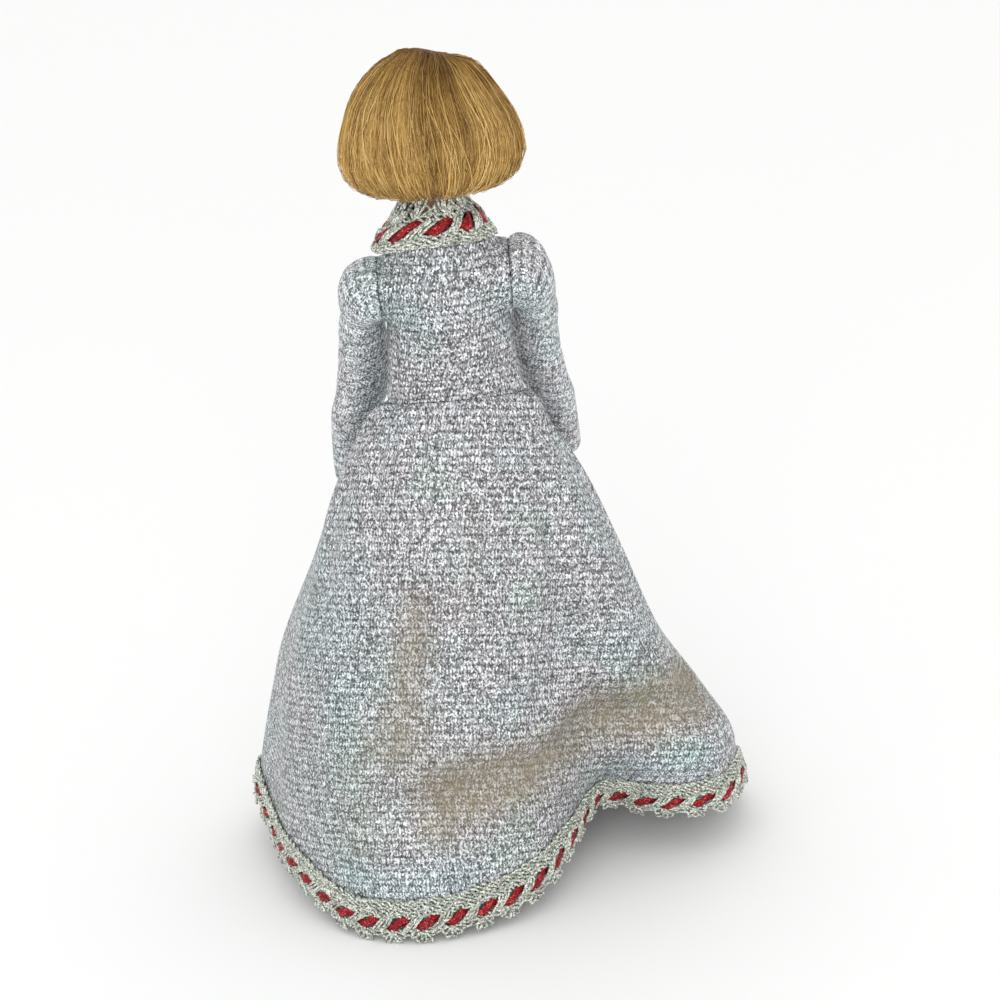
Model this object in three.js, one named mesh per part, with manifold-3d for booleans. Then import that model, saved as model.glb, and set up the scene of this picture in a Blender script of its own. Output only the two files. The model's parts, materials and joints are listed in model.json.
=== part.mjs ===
// A dressed fashion doll: a jointed vinyl doll with rooted bobbed hair, in a long knitted gown
// whose neckline and hem carry crocheted lace with a threaded ribbon.
// Millimetres, +Z up. The doll faces -Y, and its left is +X. The pieces are built about the doll's own
// axis, and the group then stands so that the origin is on the floor under the middle of the spread hem.
import * as THREE from "three";
import { mergeVertices } from "three/addons/utils/BufferGeometryUtils.js";
import Module from "manifold-3d";

const wasm = await Module();
wasm.setup();

// Driving dimensions: the doll, built up from the floor
const HIP_HEIGHT = 160; // axis that both legs swing on
const HIP_TO_WAIST = 20;
const WAIST_TO_BUST = 26;
const BUST_TO_SHOULDER = 13.5;
const SHOULDER_TO_NECKLINE = 21.5;
const NECK_RISE = 14; // the neck above the neckline
const HEAD_HEIGHT = 38; // crown to chin
const CHIN_DROP = 4; // the chin below the top of the neck
const HEAD_WIDTH = 31;
const HEAD_DEPTH = 36;
const HEAD_WALL = 2.4;
const HEAD_FORWARD = -2; // the head's middle from the neck's axis
const NECK_RADIUS = 5.2;
const NECK_BORE = 3.4;
const KNOB_RADIUS = 5.6; // of the post that carries the head
const KNOB_HEIGHT = 5;
const BUST_HALF_WIDTH = 17;
const SHOULDER_HALF_WIDTH = 18;
const TORSO_WALL = 1.8;
const ARM_LENGTH = 82; // shoulder axis to wrist
const HAND_LENGTH = 20;
const LEFT_SPREAD = 0.155; // sideways run of the arm for each millimetre down
const RIGHT_SPREAD = 0.1;
const ARM_SWING = 30; // degrees that both arms hang forward
const HIP_DISC_RADIUS = 13.5;
const CROTCH_HALF_WIDTH = 9.2;
const LEG_WIDTH = 10; // of the hip disc
const PLUG_RADIUS = 3.6; // stem that a limb turns on
const PLUG_FLANGE_RADIUS = 5.2;
const PLUG_FLANGE_THICKNESS = 2;
const SOLE = 1.2; // wall of the shoes

// Driving dimensions: the hair
const HAIR_LIFT = 3; // thickness of the hair over the crown
const HAIR_HALF_WIDTH = 28;
const HAIR_DEPTH_RATIO = 0.88;
const HAIR_LOCK = 6; // thickness of the hair at the sides
const FRINGE_DROP = 12; // the fringe's edge below the crown

// Driving dimensions: the gown
const CLOTH = 1.1; // thickness of the knitted cloth
const EASE = 2.3; // the bodice's outside off the body
const WAIST_HALF_WIDTH = 23;
const WAIST_HALF_DEPTH = 18;
const WAIST_TILT = 0.29; // rise of the waist seam for each millimetre towards the back
const ARMHOLE_RADIUS = 11.5;
const HEM_HALF_WIDTH = 88;
const HEM_HALF_DEPTH = 62;
const HEM_FORWARD = -20; // the hem's middle from the doll's axis
const COLLAR_RISE = 7.5; // lace above the neckline
const COLLAR_FALL = 7.5; // lace below the neckline
const COLLAR_SHIFT = 1.2; // the standing lace leans to the doll's left
const LACE = 1.0; // thickness of the lace
const RIBBON = 0.7; // thickness of the ribbon
const LACE_START = 0.935; // lace on the skirt, as shares of the way from waist to lace edge
const CLOTH_END = 0.955;
const RIBBON_START = 0.957;
const RIBBON_END = 0.978;

// Fits
const GAP = 0.35; // between pieces that touch
const PLUG_CLEARANCE = 0.4; // round a limb's stem
const FAR = 300; // reach of a box that cuts a piece away

// Heights and places that follow
const WAIST_HEIGHT = HIP_HEIGHT + HIP_TO_WAIST;
const BUST_HEIGHT = WAIST_HEIGHT + WAIST_TO_BUST;
const SHOULDER_HEIGHT = BUST_HEIGHT + BUST_TO_SHOULDER; // axis that both arms swing on
const NECKLINE_HEIGHT = SHOULDER_HEIGHT + SHOULDER_TO_NECKLINE;
const NECK_TOP = NECKLINE_HEIGHT + NECK_RISE;
const CHIN_HEIGHT = NECK_TOP - CHIN_DROP;
const HEAD_TOP = CHIN_HEIGHT + HEAD_HEIGHT;
const HEAD_MIDDLE = HEAD_TOP - HEAD_HEIGHT / 2;
const HAIR_TOP = HEAD_TOP + HAIR_LIFT;
const HAIR_BOTTOM = CHIN_HEIGHT + 0.5;
const FRINGE_BOTTOM = HEAD_TOP - FRINGE_DROP;
const ARMHOLE_PLANE = SHOULDER_HALF_WIDTH + EASE + 0.2; // armhole seam from the middle of the doll
const ARM_OFFSET = ARMHOLE_PLANE + 5.5; // centre of the upper arm from the middle of the doll
const LEG_OFFSET = CROTCH_HALF_WIDTH + 0.4; // centre of the shin from the middle of the doll
const COLLAR_TOP = NECKLINE_HEIGHT + COLLAR_RISE;
const COLLAR_BOTTOM = NECKLINE_HEIGHT - COLLAR_FALL;

// Counts of facets
const TORSO_SIDES = 20;
const LIMB_SIDES = 12;
const SLEEVE_SIDES = 16;
const HAIR_SIDES = 28;
const SKIRT_SIDES = 60; // three to each point of the hem
const SKIRT_ROWS = 8;
const ROUND_SIDES = 18; // bores, stems and flanges
const WHEEL_SIDES = 24; // hip discs and armholes
const HEAD_MESH = [22, 18];
const LINING_MESH = [14, 10];

// The edge of the hem's lace, from the doll's left round by the back. Its low lobes rest on the floor.
// Each point is [shares of the half width, shares of the half depth, height].
const HEM = [
  [0.99, -0.26, 19],
  [0.91, 0.1, 9],
  [0.82, 0.45, 8],
  [0.58, 0.85, -0.3],
  [0.32, 0.97, -0.3],
  [-0.01, 0.88, 2.6],
  [-0.17, 0.74, 7],
  [-0.28, 0.5, 12],
  [-0.41, 0.19, 16],
  [-0.65, 0.32, 15],
  [-0.89, 0.32, 15],
  [-1, 0.06, 15],
  [-0.95, -0.39, 1],
  [-0.7, -0.87, -0.3],
  [-0.41, -0.84, 5],
  [-0.14, -1.03, -0.3],
  [0.16, -0.9, 5],
  [0.45, -1.02, -0.3],
  [0.73, -0.77, 5],
  [0.93, -0.55, 8],
].map(([x, y, z]) => new THREE.Vector3(x * HEM_HALF_WIDTH, HEM_FORWARD + y * HEM_HALF_DEPTH, z));
const HEM_START = THREE.MathUtils.degToRad(-18); // where the first hem point hangs from the waist
const HEM_MIDDLE = new THREE.Vector3(0, HEM_FORWARD, 0); // the hem's oval without its folds
const HEM_RADII = new THREE.Vector3(HEM_HALF_WIDTH - 2, HEM_HALF_DEPTH, 0);
// How the skirt swells: shares of the way down, and of the way out to the hem
const SWELL_DOWN = [0, 0.06, 0.2, 0.37, 0.58, 0.72, 0.87, 1];
const SWELL_LEFT = [0, 0.14, 0.34, 0.51, 0.75, 0.85, 0.94, 1].map((out, i) => [SWELL_DOWN[i], out]);
const SWELL_RIGHT = [0, 0.12, 0.28, 0.41, 0.59, 0.79, 0.95, 1].map((out, i) => [SWELL_DOWN[i], out]);
const FOLD_GROWTH = 1.8; // how late the folds open below the waist

// Finishes
function finish(color, roughness, metalness = 0) {
  return new THREE.MeshStandardMaterial({ color: new THREE.Color(...color), roughness, metalness });
}
const skin = finish([0.86, 0.62, 0.48], 0.5);
const hairFibre = finish([0.56, 0.38, 0.17], 0.45);
const silverKnit = finish([0.6, 0.62, 0.64], 0.4, 0.5);
const laceThread = finish([0.6, 0.62, 0.55], 0.5, 0.3);
const redRibbon = finish([0.62, 0.02, 0.05], 0.4);
const shoeVinyl = finish([0.7, 0.71, 0.73], 0.35);

// Solids and meshes
const group = new THREE.Group();
const X_AXIS = new THREE.Vector3(1, 0, 0);
const Z_AXIS = new THREE.Vector3(0, 0, 1);

function solidOf(geometry) {
  const bare = geometry.index ? geometry.toNonIndexed() : geometry.clone();
  for (const name of Object.keys(bare.attributes)) {
    if (name !== "position") bare.deleteAttribute(name);
  }
  const merged = mergeVertices(bare, 1e-4);
  return new wasm.Manifold(
    new wasm.Mesh({
      numProp: 3,
      vertProperties: merged.attributes.position.array,
      triVerts: new Uint32Array(merged.index.array),
    }),
  );
}

function addMesh(name, solid, material) {
  const made = solid.getMesh();
  const geometry = new THREE.BufferGeometry();
  const positions = new Float32Array(made.numVert * 3);
  for (let i = 0; i < made.numVert; i++) {
    positions.set(made.vertProperties.subarray(i * made.numProp, i * made.numProp + 3), i * 3);
  }
  geometry.setAttribute("position", new THREE.BufferAttribute(positions, 3));
  geometry.setIndex(new THREE.BufferAttribute(made.triVerts, 1));
  geometry.computeVertexNormals();
  const mesh = new THREE.Mesh(geometry, material);
  mesh.name = name;
  group.add(mesh);
}

function boxSolid(low, high) {
  const size = high.map((h, k) => h - low[k]);
  const geometry = new THREE.BoxGeometry(...size);
  geometry.translate(...low.map((l, k) => l + size[k] / 2));
  return solidOf(geometry);
}

// A round bar along X from x0 to x1, with its axis at (y, z).
function barX(radius, x0, x1, y, z, sides = ROUND_SIDES) {
  const geometry = new THREE.CylinderGeometry(radius, radius, Math.abs(x1 - x0), sides);
  geometry.rotateZ(Math.PI / 2);
  geometry.translate((x0 + x1) / 2, y, z);
  return solidOf(geometry);
}

// A solid turned about the Z axis, from [radius, z] points that start and end on the axis.
function turned(profile, sides) {
  const points = profile.map(([r, z]) => new THREE.Vector2(r, z));
  const geometry = new THREE.LatheGeometry(points, sides);
  geometry.rotateX(Math.PI / 2);
  return solidOf(geometry);
}

// A round bar on the Z axis.
function barZ(radius, z0, z1) {
  return turned([[0, z0], [radius, z0], [radius, z1], [0, z1]], ROUND_SIDES);
}

// One oval ring of points, anticlockwise about the direction in which the loft goes.
function oval(centre, along, a, b, sides) {
  const u = X_AXIS.clone().addScaledVector(along, -along.dot(X_AXIS)).normalize();
  const v = along.clone().cross(u);
  return Array.from({ length: sides }, (_, i) => {
    const angle = (2 * Math.PI * i) / sides;
    return centre
      .clone()
      .addScaledVector(u, a * Math.cos(angle))
      .addScaledVector(v, b * Math.sin(angle));
  });
}

// A closed skin through rings of equally many points, capped at both ends.
function loft(rings) {
  const sides = rings[0].length;
  const corners = rings.flat();
  const faces = [];
  for (let i = 0; i + 1 < rings.length; i++) {
    for (let j = 0; j < sides; j++) {
      const k = (j + 1) % sides;
      const low = i * sides;
      const high = low + sides;
      faces.push(low + j, low + k, high + k, low + j, high + k, high + j);
    }
  }
  for (const [ring, up] of [
    [0, false],
    [rings.length - 1, true],
  ]) {
    const middle = new THREE.Vector3();
    rings[ring].forEach((p) => middle.addScaledVector(p, 1 / sides));
    const hub = corners.push(middle) - 1;
    for (let j = 0; j < sides; j++) {
      const here = ring * sides + j;
      const next = ring * sides + ((j + 1) % sides);
      faces.push(hub, ...(up ? [here, next] : [next, here]));
    }
  }
  const geometry = new THREE.BufferGeometry().setFromPoints(corners);
  geometry.setIndex(faces);
  return solidOf(geometry);
}

// A loft of ovals. Each section is [z, half width, half depth, centre x, centre y, rise towards the back].
function levels(sections, sides) {
  return loft(
    sections.map(([z, a, b, x = 0, y = 0, rise = 0]) => {
      const ring = oval(new THREE.Vector3(x, y, z), Z_AXIS, a, b, sides);
      ring.forEach((p) => p.setZ(z + rise * p.y));
      return ring;
    }),
  );
}

function mirrored(solid) {
  return solid.mirror([1, 0, 0]);
}

// Torso: two hollow shells that meet at the sides, with sockets for the limbs and the neck
const TORSO = [
  [HIP_HEIGHT, 19, 14, 0, 1],
  [HIP_HEIGHT + 0.3 * HIP_TO_WAIST, 19.5, 14.5, 0, 1],
  [HIP_HEIGHT + 0.6 * HIP_TO_WAIST, 17.5, 13, 0, 0.5],
  [WAIST_HEIGHT, 14, 11, 0, 0],
  [WAIST_HEIGHT + 0.38 * WAIST_TO_BUST, 15, 12, 0, -0.5],
  [WAIST_HEIGHT + 0.7 * WAIST_TO_BUST, BUST_HALF_WIDTH - 0.8, 14, 0, -1.5],
  [BUST_HEIGHT, BUST_HALF_WIDTH, 16.3, 0, -2.8],
  [BUST_HEIGHT + 0.6 * BUST_TO_SHOULDER, BUST_HALF_WIDTH + 0.5, 14.5, 0, -1.5],
  [SHOULDER_HEIGHT + 0.12 * SHOULDER_TO_NECKLINE, SHOULDER_HALF_WIDTH, 11, 0, 0],
  [SHOULDER_HEIGHT + 0.44 * SHOULDER_TO_NECKLINE, SHOULDER_HALF_WIDTH - 1.5, 9, 0, 0.5],
  [SHOULDER_HEIGHT + 0.67 * SHOULDER_TO_NECKLINE, SHOULDER_HALF_WIDTH - 5.5, 7.6, 0, 0.8],
  [SHOULDER_HEIGHT + 0.86 * SHOULDER_TO_NECKLINE, NECK_RADIUS + 2.8, NECK_RADIUS + 1.3, 0, 0.5],
  [NECKLINE_HEIGHT + 1, NECK_RADIUS, NECK_RADIUS, 0, 0],
  [NECK_TOP, NECK_RADIUS, NECK_RADIUS, 0, 0],
];
const NECK_LANDING = TORSO.at(-4)[0] - TORSO_WALL; // roof of the torso's hollow

function torsoHollow() {
  const inner = TORSO.slice(0, -3).map(([z, a, b, x, y]) => [z, a - TORSO_WALL, b - TORSO_WALL, x, y]);
  return levels(inner, TORSO_SIDES);
}

function torsoShells() {
  const crotch = barX(HIP_DISC_RADIUS, -CROTCH_HALF_WIDTH, CROTCH_HALF_WIDTH, 1, HIP_HEIGHT);
  const pelvisHollow = CROTCH_HALF_WIDTH - TORSO_WALL;
  let body = levels(TORSO, TORSO_SIDES).add(crotch).subtract(torsoHollow());
  body = body.subtract(barX(HIP_DISC_RADIUS - TORSO_WALL, -pelvisHollow, pelvisHollow, 1, HIP_HEIGHT));
  body = body.subtract(barZ(NECK_BORE, NECK_LANDING, HEAD_TOP));
  for (const side of [-1, 1]) {
    const hipFace = side * CROTCH_HALF_WIDTH;
    const shoulder = side * SHOULDER_HALF_WIDTH;
    body = body.subtract(barX(HIP_DISC_RADIUS + GAP, hipFace, side * FAR, 1, HIP_HEIGHT, WHEEL_SIDES));
    body = body.subtract(barX(PLUG_RADIUS + PLUG_CLEARANCE, hipFace / 2, side * FAR, 1, HIP_HEIGHT));
    body = body.subtract(barX(PLUG_RADIUS + PLUG_CLEARANCE, shoulder / 2, side * FAR, 0, SHOULDER_HEIGHT));
  }
  const half = GAP / 2;
  addMesh("torso_front", body.subtract(boxSolid([-FAR, -half, 0], [FAR, FAR, FAR])), skin);
  addMesh("torso_back", body.subtract(boxSolid([-FAR, -FAR, 0], [FAR, half, FAR])), skin);
}

// Neck post: a mushroom held in the torso's neck, whose knob carries the head
const HEAD_SEAT = NECK_TOP + GAP; // underside of the head's floor
const HEAD_FLOOR = HEAD_SEAT + HEAD_WALL; // top of that floor, inside the head
const HEAD_HOLE = NECK_BORE + 0.9;

function neckPost() {
  const stem = NECK_BORE - GAP;
  const foot = NECK_LANDING - GAP;
  const floorOfHead = HEAD_FLOOR + GAP;
  const profile = [
    [0, foot - PLUG_FLANGE_THICKNESS],
    [PLUG_FLANGE_RADIUS - 1, foot - PLUG_FLANGE_THICKNESS],
    [PLUG_FLANGE_RADIUS - 1, foot],
    [stem, foot],
    [stem, floorOfHead],
    [KNOB_RADIUS, floorOfHead],
    [KNOB_RADIUS - 0.6, floorOfHead + KNOB_HEIGHT / 2],
    [stem, floorOfHead + KNOB_HEIGHT],
    [0, floorOfHead + KNOB_HEIGHT],
  ];
  addMesh("neck_post", turned(profile, ROUND_SIDES), skin);
}

// Head: a hollow vinyl shell with a plain sculpted face, open underneath
function headPoint(direction, grow) {
  const { x, y, z } = direction;
  const low = Math.max(0, -z);
  const front = Math.max(0, -y);
  const taper = 1 - 0.3 * low ** 1.6;
  const nape = 1 - 0.28 * low * Math.max(0, y);
  const bump = (px, pz, wx, wz) => Math.exp(-(((x - px) / wx) ** 2) - ((z - pz) / wz) ** 2);
  const nose = 2.6 * front ** 4 * bump(0, -0.22, 0.11, 0.13);
  const bridge = 0.9 * front ** 4 * bump(0, 0.0, 0.1, 0.2);
  const lips = 0.9 * front ** 4 * bump(0, -0.5, 0.2, 0.07);
  const chin = 1.2 * front ** 3 * bump(0, -0.76, 0.22, 0.12);
  const sockets = 1.1 * front ** 3 * (bump(-0.36, 0.0, 0.2, 0.12) + bump(0.36, 0.0, 0.2, 0.12));
  const out = nose + bridge + lips + chin - sockets;
  return new THREE.Vector3(
    x * (HEAD_WIDTH / 2 + grow) * taper,
    HEAD_FORWARD + y * (HEAD_DEPTH / 2 + grow) * nape - (grow < 0 ? 0 : out),
    HEAD_MIDDLE + z * (HEAD_HEIGHT / 2 + grow),
  );
}

function headSolid(grow, across, down) {
  const geometry = new THREE.SphereGeometry(1, across, down);
  geometry.rotateX(Math.PI / 2);
  const position = geometry.getAttribute("position");
  const direction = new THREE.Vector3();
  for (let i = 0; i < position.count; i++) {
    const p = headPoint(direction.fromBufferAttribute(position, i), grow);
    position.setXYZ(i, p.x, p.y, p.z);
  }
  return solidOf(geometry);
}

function head() {
  const rim = NECK_RADIUS + 0.6;
  const under = HEAD_SEAT - 20;
  const recess = barZ(rim, under, HEAD_SEAT);
  const hole = barZ(HEAD_HOLE, under, HEAD_MIDDLE);
  const base = boxSolid([-HEAD_WIDTH, -HEAD_DEPTH, under], [HEAD_WIDTH, HEAD_DEPTH, HEAD_FLOOR]);
  const cavity = headSolid(-HEAD_WALL, ...LINING_MESH).subtract(base);
  addMesh("head", largest(headSolid(0, ...HEAD_MESH).subtract(cavity).subtract(recess).subtract(hole)), skin);
}

// Hair: a bob cut that curls under at the ends, with a fringe over the brow
function hair() {
  const rise = HAIR_TOP - HAIR_BOTTOM;
  const shape = [
    [0, 0],
    [0.7, 0],
    [0.86, 0.03],
    [0.98, 0.13],
    [1, 0.3],
    [0.94, 0.5],
    [0.81, 0.7],
    [0.6, 0.87],
    [0.32, 0.975],
    [0, 1],
  ].map(([r, h]) => [r * HAIR_HALF_WIDTH, HAIR_BOTTOM + h * rise]);
  const outer = turned(shape, HAIR_SIDES);
  const under = [
    [0, HAIR_BOTTOM - 5],
    [0.68 * HAIR_HALF_WIDTH, HAIR_BOTTOM - 5],
    [HAIR_HALF_WIDTH - HAIR_LOCK - 1, HAIR_BOTTOM + 0.14 * rise],
    [HAIR_HALF_WIDTH - HAIR_LOCK, HAIR_BOTTOM + 0.32 * rise],
    [HEAD_WIDTH / 2, HAIR_BOTTOM + 0.62 * rise],
    [0, HAIR_BOTTOM + 0.72 * rise],
  ];
  const hollow = turned(under, HAIR_SIDES);
  const place = (s) => s.scale([1, HAIR_DEPTH_RATIO, 1]).translate([0, -0.5, 0]);
  const face = new THREE.Shape();
  const sideX = HEAD_WIDTH / 2 - 1.6;
  face.moveTo(-sideX, HAIR_BOTTOM - 10);
  face.lineTo(sideX, HAIR_BOTTOM - 10);
  face.lineTo(sideX, FRINGE_BOTTOM - 5);
  face.quadraticCurveTo(sideX - 1, FRINGE_BOTTOM, 0, FRINGE_BOTTOM + 1.5);
  face.quadraticCurveTo(-sideX + 1, FRINGE_BOTTOM, -sideX, FRINGE_BOTTOM - 5);
  const opening = new THREE.ExtrudeGeometry(face, { depth: 40, bevelEnabled: false, curveSegments: 6 });
  opening.rotateX(Math.PI / 2);
  const faceCut = solidOf(opening).translate([0, -8, 0]);
  const bob = place(outer).subtract(place(hollow)).subtract(headSolid(GAP, ...HEAD_MESH)).subtract(faceCut);
  addMesh("hair", largest(bob), hairFibre);
}

// The biggest of the bodies that a cut leaves.
function largest(solid) {
  return solid.decompose().reduce((a, b) => (a.volume() > b.volume() ? a : b));
}

// Arms: shoulder, arm and hand in one moulding, with a flanged plug that snaps into the torso
function armLine(z, spread) {
  return ARM_OFFSET - spread * z;
}

function arm(spread) {
  const wrist = -ARM_LENGTH;
  const tip = wrist - HAND_LENGTH;
  const sections = [
    [tip, 1.4, 1.6],
    [tip + 1.5, 2.3, 3],
    [tip + 0.35 * HAND_LENGTH, 2.3, 4],
    [tip + 0.62 * HAND_LENGTH, 2.5, 4.4],
    [tip + 0.85 * HAND_LENGTH, 2.6, 3.4],
    [wrist, 2.7, 3],
    [wrist + 12, 3.3, 3.5],
    [-0.62 * ARM_LENGTH, 3.9, 4.2],
    [-0.45 * ARM_LENGTH, 3.8, 4.1],
    [-0.2 * ARM_LENGTH, 4.3, 4.8],
    [-4, 4.8, 5.6],
    [3, 4.6, 5.2],
    [6, 2.6, 3],
  ].map(([z, a, b]) => [z, a, b, armLine(z, spread), 0]);
  const torsoWall = SHOULDER_HALF_WIDTH - TORSO_WALL;
  const flangeEnd = torsoWall - 3.2;
  const stem = barX(PLUG_RADIUS, flangeEnd, ARM_OFFSET, 0, 0);
  const flange = barX(PLUG_FLANGE_RADIUS - 0.6, flangeEnd - PLUG_FLANGE_THICKNESS, flangeEnd, 0, 0);
  const thumb = levels(
    [
      [wrist - 13, 1, 1.1, armLine(wrist - 13, spread), -5.2],
      [wrist - 9, 1.2, 1.3, armLine(wrist - 9, spread), -4.6],
      [wrist - 4, 1.5, 1.8, armLine(wrist - 4, spread), -2.4],
    ],
    8,
  );
  return levels(sections, LIMB_SIDES).add(thumb).add(stem).add(flange);
}

// Sleeves: long straight tubes of knit, gathered into a low puff at the armhole
function sleeve(spread) {
  const cuff = -ARM_LENGTH + 1;
  const sections = [
    [cuff, 5.6, 6],
    [cuff + 4, 5.9, 6.3],
    [-0.6 * ARM_LENGTH, 6.5, 7],
    [-0.35 * ARM_LENGTH, 6.8, 7.6],
    [-16, 7.4, 9],
    [-8, 7.8, 10.6],
    [1, 7.8, 11],
    [6, 7, 9.6],
    [9.6, 5, 6.6],
    [11, 2, 2.8],
  ].map(([z, a, b]) => [z, a, b, armLine(z, spread), 0]);
  const lining = sections.map(([z, a, b, x, y]) => [z, a - CLOTH, b - CLOTH, x, y]);
  lining[0][0] -= 3;
  lining.at(-1)[0] -= CLOTH;
  lining.at(-2)[0] -= CLOTH;
  const inside = boxSolid([-FAR, -FAR, -FAR], [ARMHOLE_PLANE + GAP, FAR, FAR]);
  return levels(sections, SLEEVE_SIDES).subtract(levels(lining, SLEEVE_SIDES)).subtract(inside);
}

function armsAndSleeves() {
  const swing = (solid) => solid.rotate([-ARM_SWING, 0, 0]).translate([0, 0, SHOULDER_HEIGHT]);
  addMesh("left_arm", swing(arm(LEFT_SPREAD)), skin);
  addMesh("right_arm", mirrored(swing(arm(RIGHT_SPREAD))), skin);
  addMesh("left_sleeve", swing(sleeve(LEFT_SPREAD)), silverKnit);
  addMesh("right_sleeve", mirrored(swing(sleeve(RIGHT_SPREAD))), silverKnit);
}

// Legs: straight mouldings on a hip disc, with the feet on tiptoe
const FOOT_PATH = [
  [[0, 1, 30], 4.2, 5],
  [[0, 1.2, 23], 4.2, 5.6],
  [[0, -1, 17], 4.1, 5.6],
  [[0, -6, 11], 4.2, 4.4],
  [[0, -13, 5.6], 4.5, 2.9],
  [[0, -19, 3.9], 4, 2],
  [[0, -22.5, 3.4], 2.4, 1.2],
];

function footRings(grow) {
  const centres = FOOT_PATH.map(([c]) => new THREE.Vector3(...c));
  return FOOT_PATH.map(([, a, b], i) => {
    const before = centres[Math.max(0, i - 1)];
    const after = centres[Math.min(centres.length - 1, i + 1)];
    const along = before.clone().sub(after).normalize();
    return oval(centres[i].clone().setX(LEG_OFFSET), along, a + grow, b + grow, LIMB_SIDES);
  }).reverse();
}

function leg() {
  const ankle = 26;
  const shin = HIP_HEIGHT - ankle;
  const sections = [
    [ankle, 4.2, 5.2, LEG_OFFSET, 1],
    [ankle + 0.105 * shin, 4.7, 5.6, LEG_OFFSET, 1],
    [ankle + 0.27 * shin, 6.8, 7.6, LEG_OFFSET, 1.8],
    [ankle + 0.375 * shin, 6.6, 7.2, LEG_OFFSET, 1.4],
    [ankle + 0.465 * shin, 6.2, 6.8, LEG_OFFSET, 0],
    [ankle + 0.55 * shin, 6.9, 7.8, LEG_OFFSET, 0],
    [ankle + 0.7 * shin, 8, 9.4, LEG_OFFSET + 0.2, 0.4],
    [ankle + 0.85 * shin, 8.6, 11, LEG_OFFSET + 0.8, 0.9],
    [ankle + 0.925 * shin, 8.4, 12, LEG_OFFSET + 1.4, 1],
    [HIP_HEIGHT, 8, HIP_DISC_RADIUS - 0.9, LEG_OFFSET + 2.4, 1],
  ];
  const face = CROTCH_HALF_WIDTH + GAP;
  const disc = barX(HIP_DISC_RADIUS, face, face + LEG_WIDTH, 1, HIP_HEIGHT, WHEEL_SIDES);
  const flangeEnd = CROTCH_HALF_WIDTH - TORSO_WALL - GAP;
  const stem = barX(PLUG_RADIUS, flangeEnd, LEG_OFFSET + 4, 1, HIP_HEIGHT);
  const flange = barX(PLUG_FLANGE_RADIUS, flangeEnd - PLUG_FLANGE_THICKNESS, flangeEnd, 1, HIP_HEIGHT);
  const clear = barX(HIP_DISC_RADIUS + GAP, -20, face, 1, HIP_HEIGHT, WHEEL_SIDES);
  return levels(sections, LIMB_SIDES).add(loft(footRings(0))).subtract(clear).add(disc).add(stem).add(flange);
}

// Shoes: slip-on pumps with a solid heel, flat where they meet the floor
const TOE_MIDDLE = -15.5;
const HEEL_MIDDLE = 5.4;
const THROAT_FRONT = -14;
const THROAT_LOW = 8.4;
const THROAT_SLOPE = 33; // degrees that the opening rises towards the heel

function shoe() {
  const outer = loft(footRings(SOLE));
  const toe = levels(
    [
      [0, 3.7, 6.8, LEG_OFFSET, TOE_MIDDLE],
      [3, 4.6, 7.6, LEG_OFFSET, TOE_MIDDLE],
    ],
    LIMB_SIDES,
  );
  const heel = levels(
    [
      [0, 1.8, 1.8, LEG_OFFSET, HEEL_MIDDLE],
      [8, 2.2, 2.2, LEG_OFFSET, HEEL_MIDDLE - 0.6],
      [17, 4, 3.6, LEG_OFFSET, HEEL_MIDDLE - 2],
    ],
    12,
  );
  const throat = boxSolid([-FAR, 0, 0], [FAR, FAR, FAR])
    .rotate([THROAT_SLOPE, 0, 0])
    .translate([LEG_OFFSET, THROAT_FRONT, THROAT_LOW]);
  const below = boxSolid([-FAR, -FAR, -FAR], [FAR, FAR, 0]);
  const last = loft(footRings(GAP));
  return largest(outer.subtract(throat).add(toe).add(heel).subtract(last).subtract(below));
}

function legsAndShoes() {
  const left = leg();
  const leftShoe = shoe();
  addMesh("left_leg", left, skin);
  addMesh("right_leg", mirrored(left), skin);
  addMesh("left_shoe", leftShoe, shoeVinyl);
  addMesh("right_shoe", mirrored(leftShoe), shoeVinyl);
}

// Bodice: a loose knitted shell from the waist seam to the neckline, with round armholes
function eased(section, ease) {
  const [z, a, b, x, y] = section;
  return [z, a + ease, b + ease, x, y];
}

const BODICE = [
  [WAIST_HEIGHT + GAP, WAIST_HALF_WIDTH, WAIST_HALF_DEPTH, 0, 0, WAIST_TILT],
  [...eased(TORSO[4], 2 * EASE), WAIST_TILT / 2],
  eased(TORSO[5], 1.35 * EASE),
  ...TORSO.slice(6, 11).map((section) => eased(section, EASE)),
  eased(TORSO[11], 1.7 * EASE),
  [NECKLINE_HEIGHT, NECK_RADIUS + 5.4, NECK_RADIUS + 4.4, 0, 0.2],
];

function bodice() {
  const core = SHOULDER_HALF_WIDTH - 4;
  const shoulders = (radius, reach) => {
    const through = barX(radius, -reach, reach, 0, SHOULDER_HEIGHT, WHEEL_SIDES);
    return through.subtract(barX(radius + 1, -core, core, 0, SHOULDER_HEIGHT, WHEEL_SIDES));
  };
  const lining = BODICE.map(([z, a, b, ...rest]) => [z, a - CLOTH, b - CLOTH, ...rest]);
  lining[0][0] -= 2;
  lining.at(-1)[0] += 2;
  const outer = levels(BODICE, TORSO_SIDES).add(shoulders(ARMHOLE_RADIUS, ARMHOLE_PLANE));
  const inner = levels(lining, TORSO_SIDES).add(shoulders(ARMHOLE_RADIUS - CLOTH, ARMHOLE_PLANE + 2));
  addMesh("bodice", outer.subtract(inner), silverKnit);
}

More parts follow.
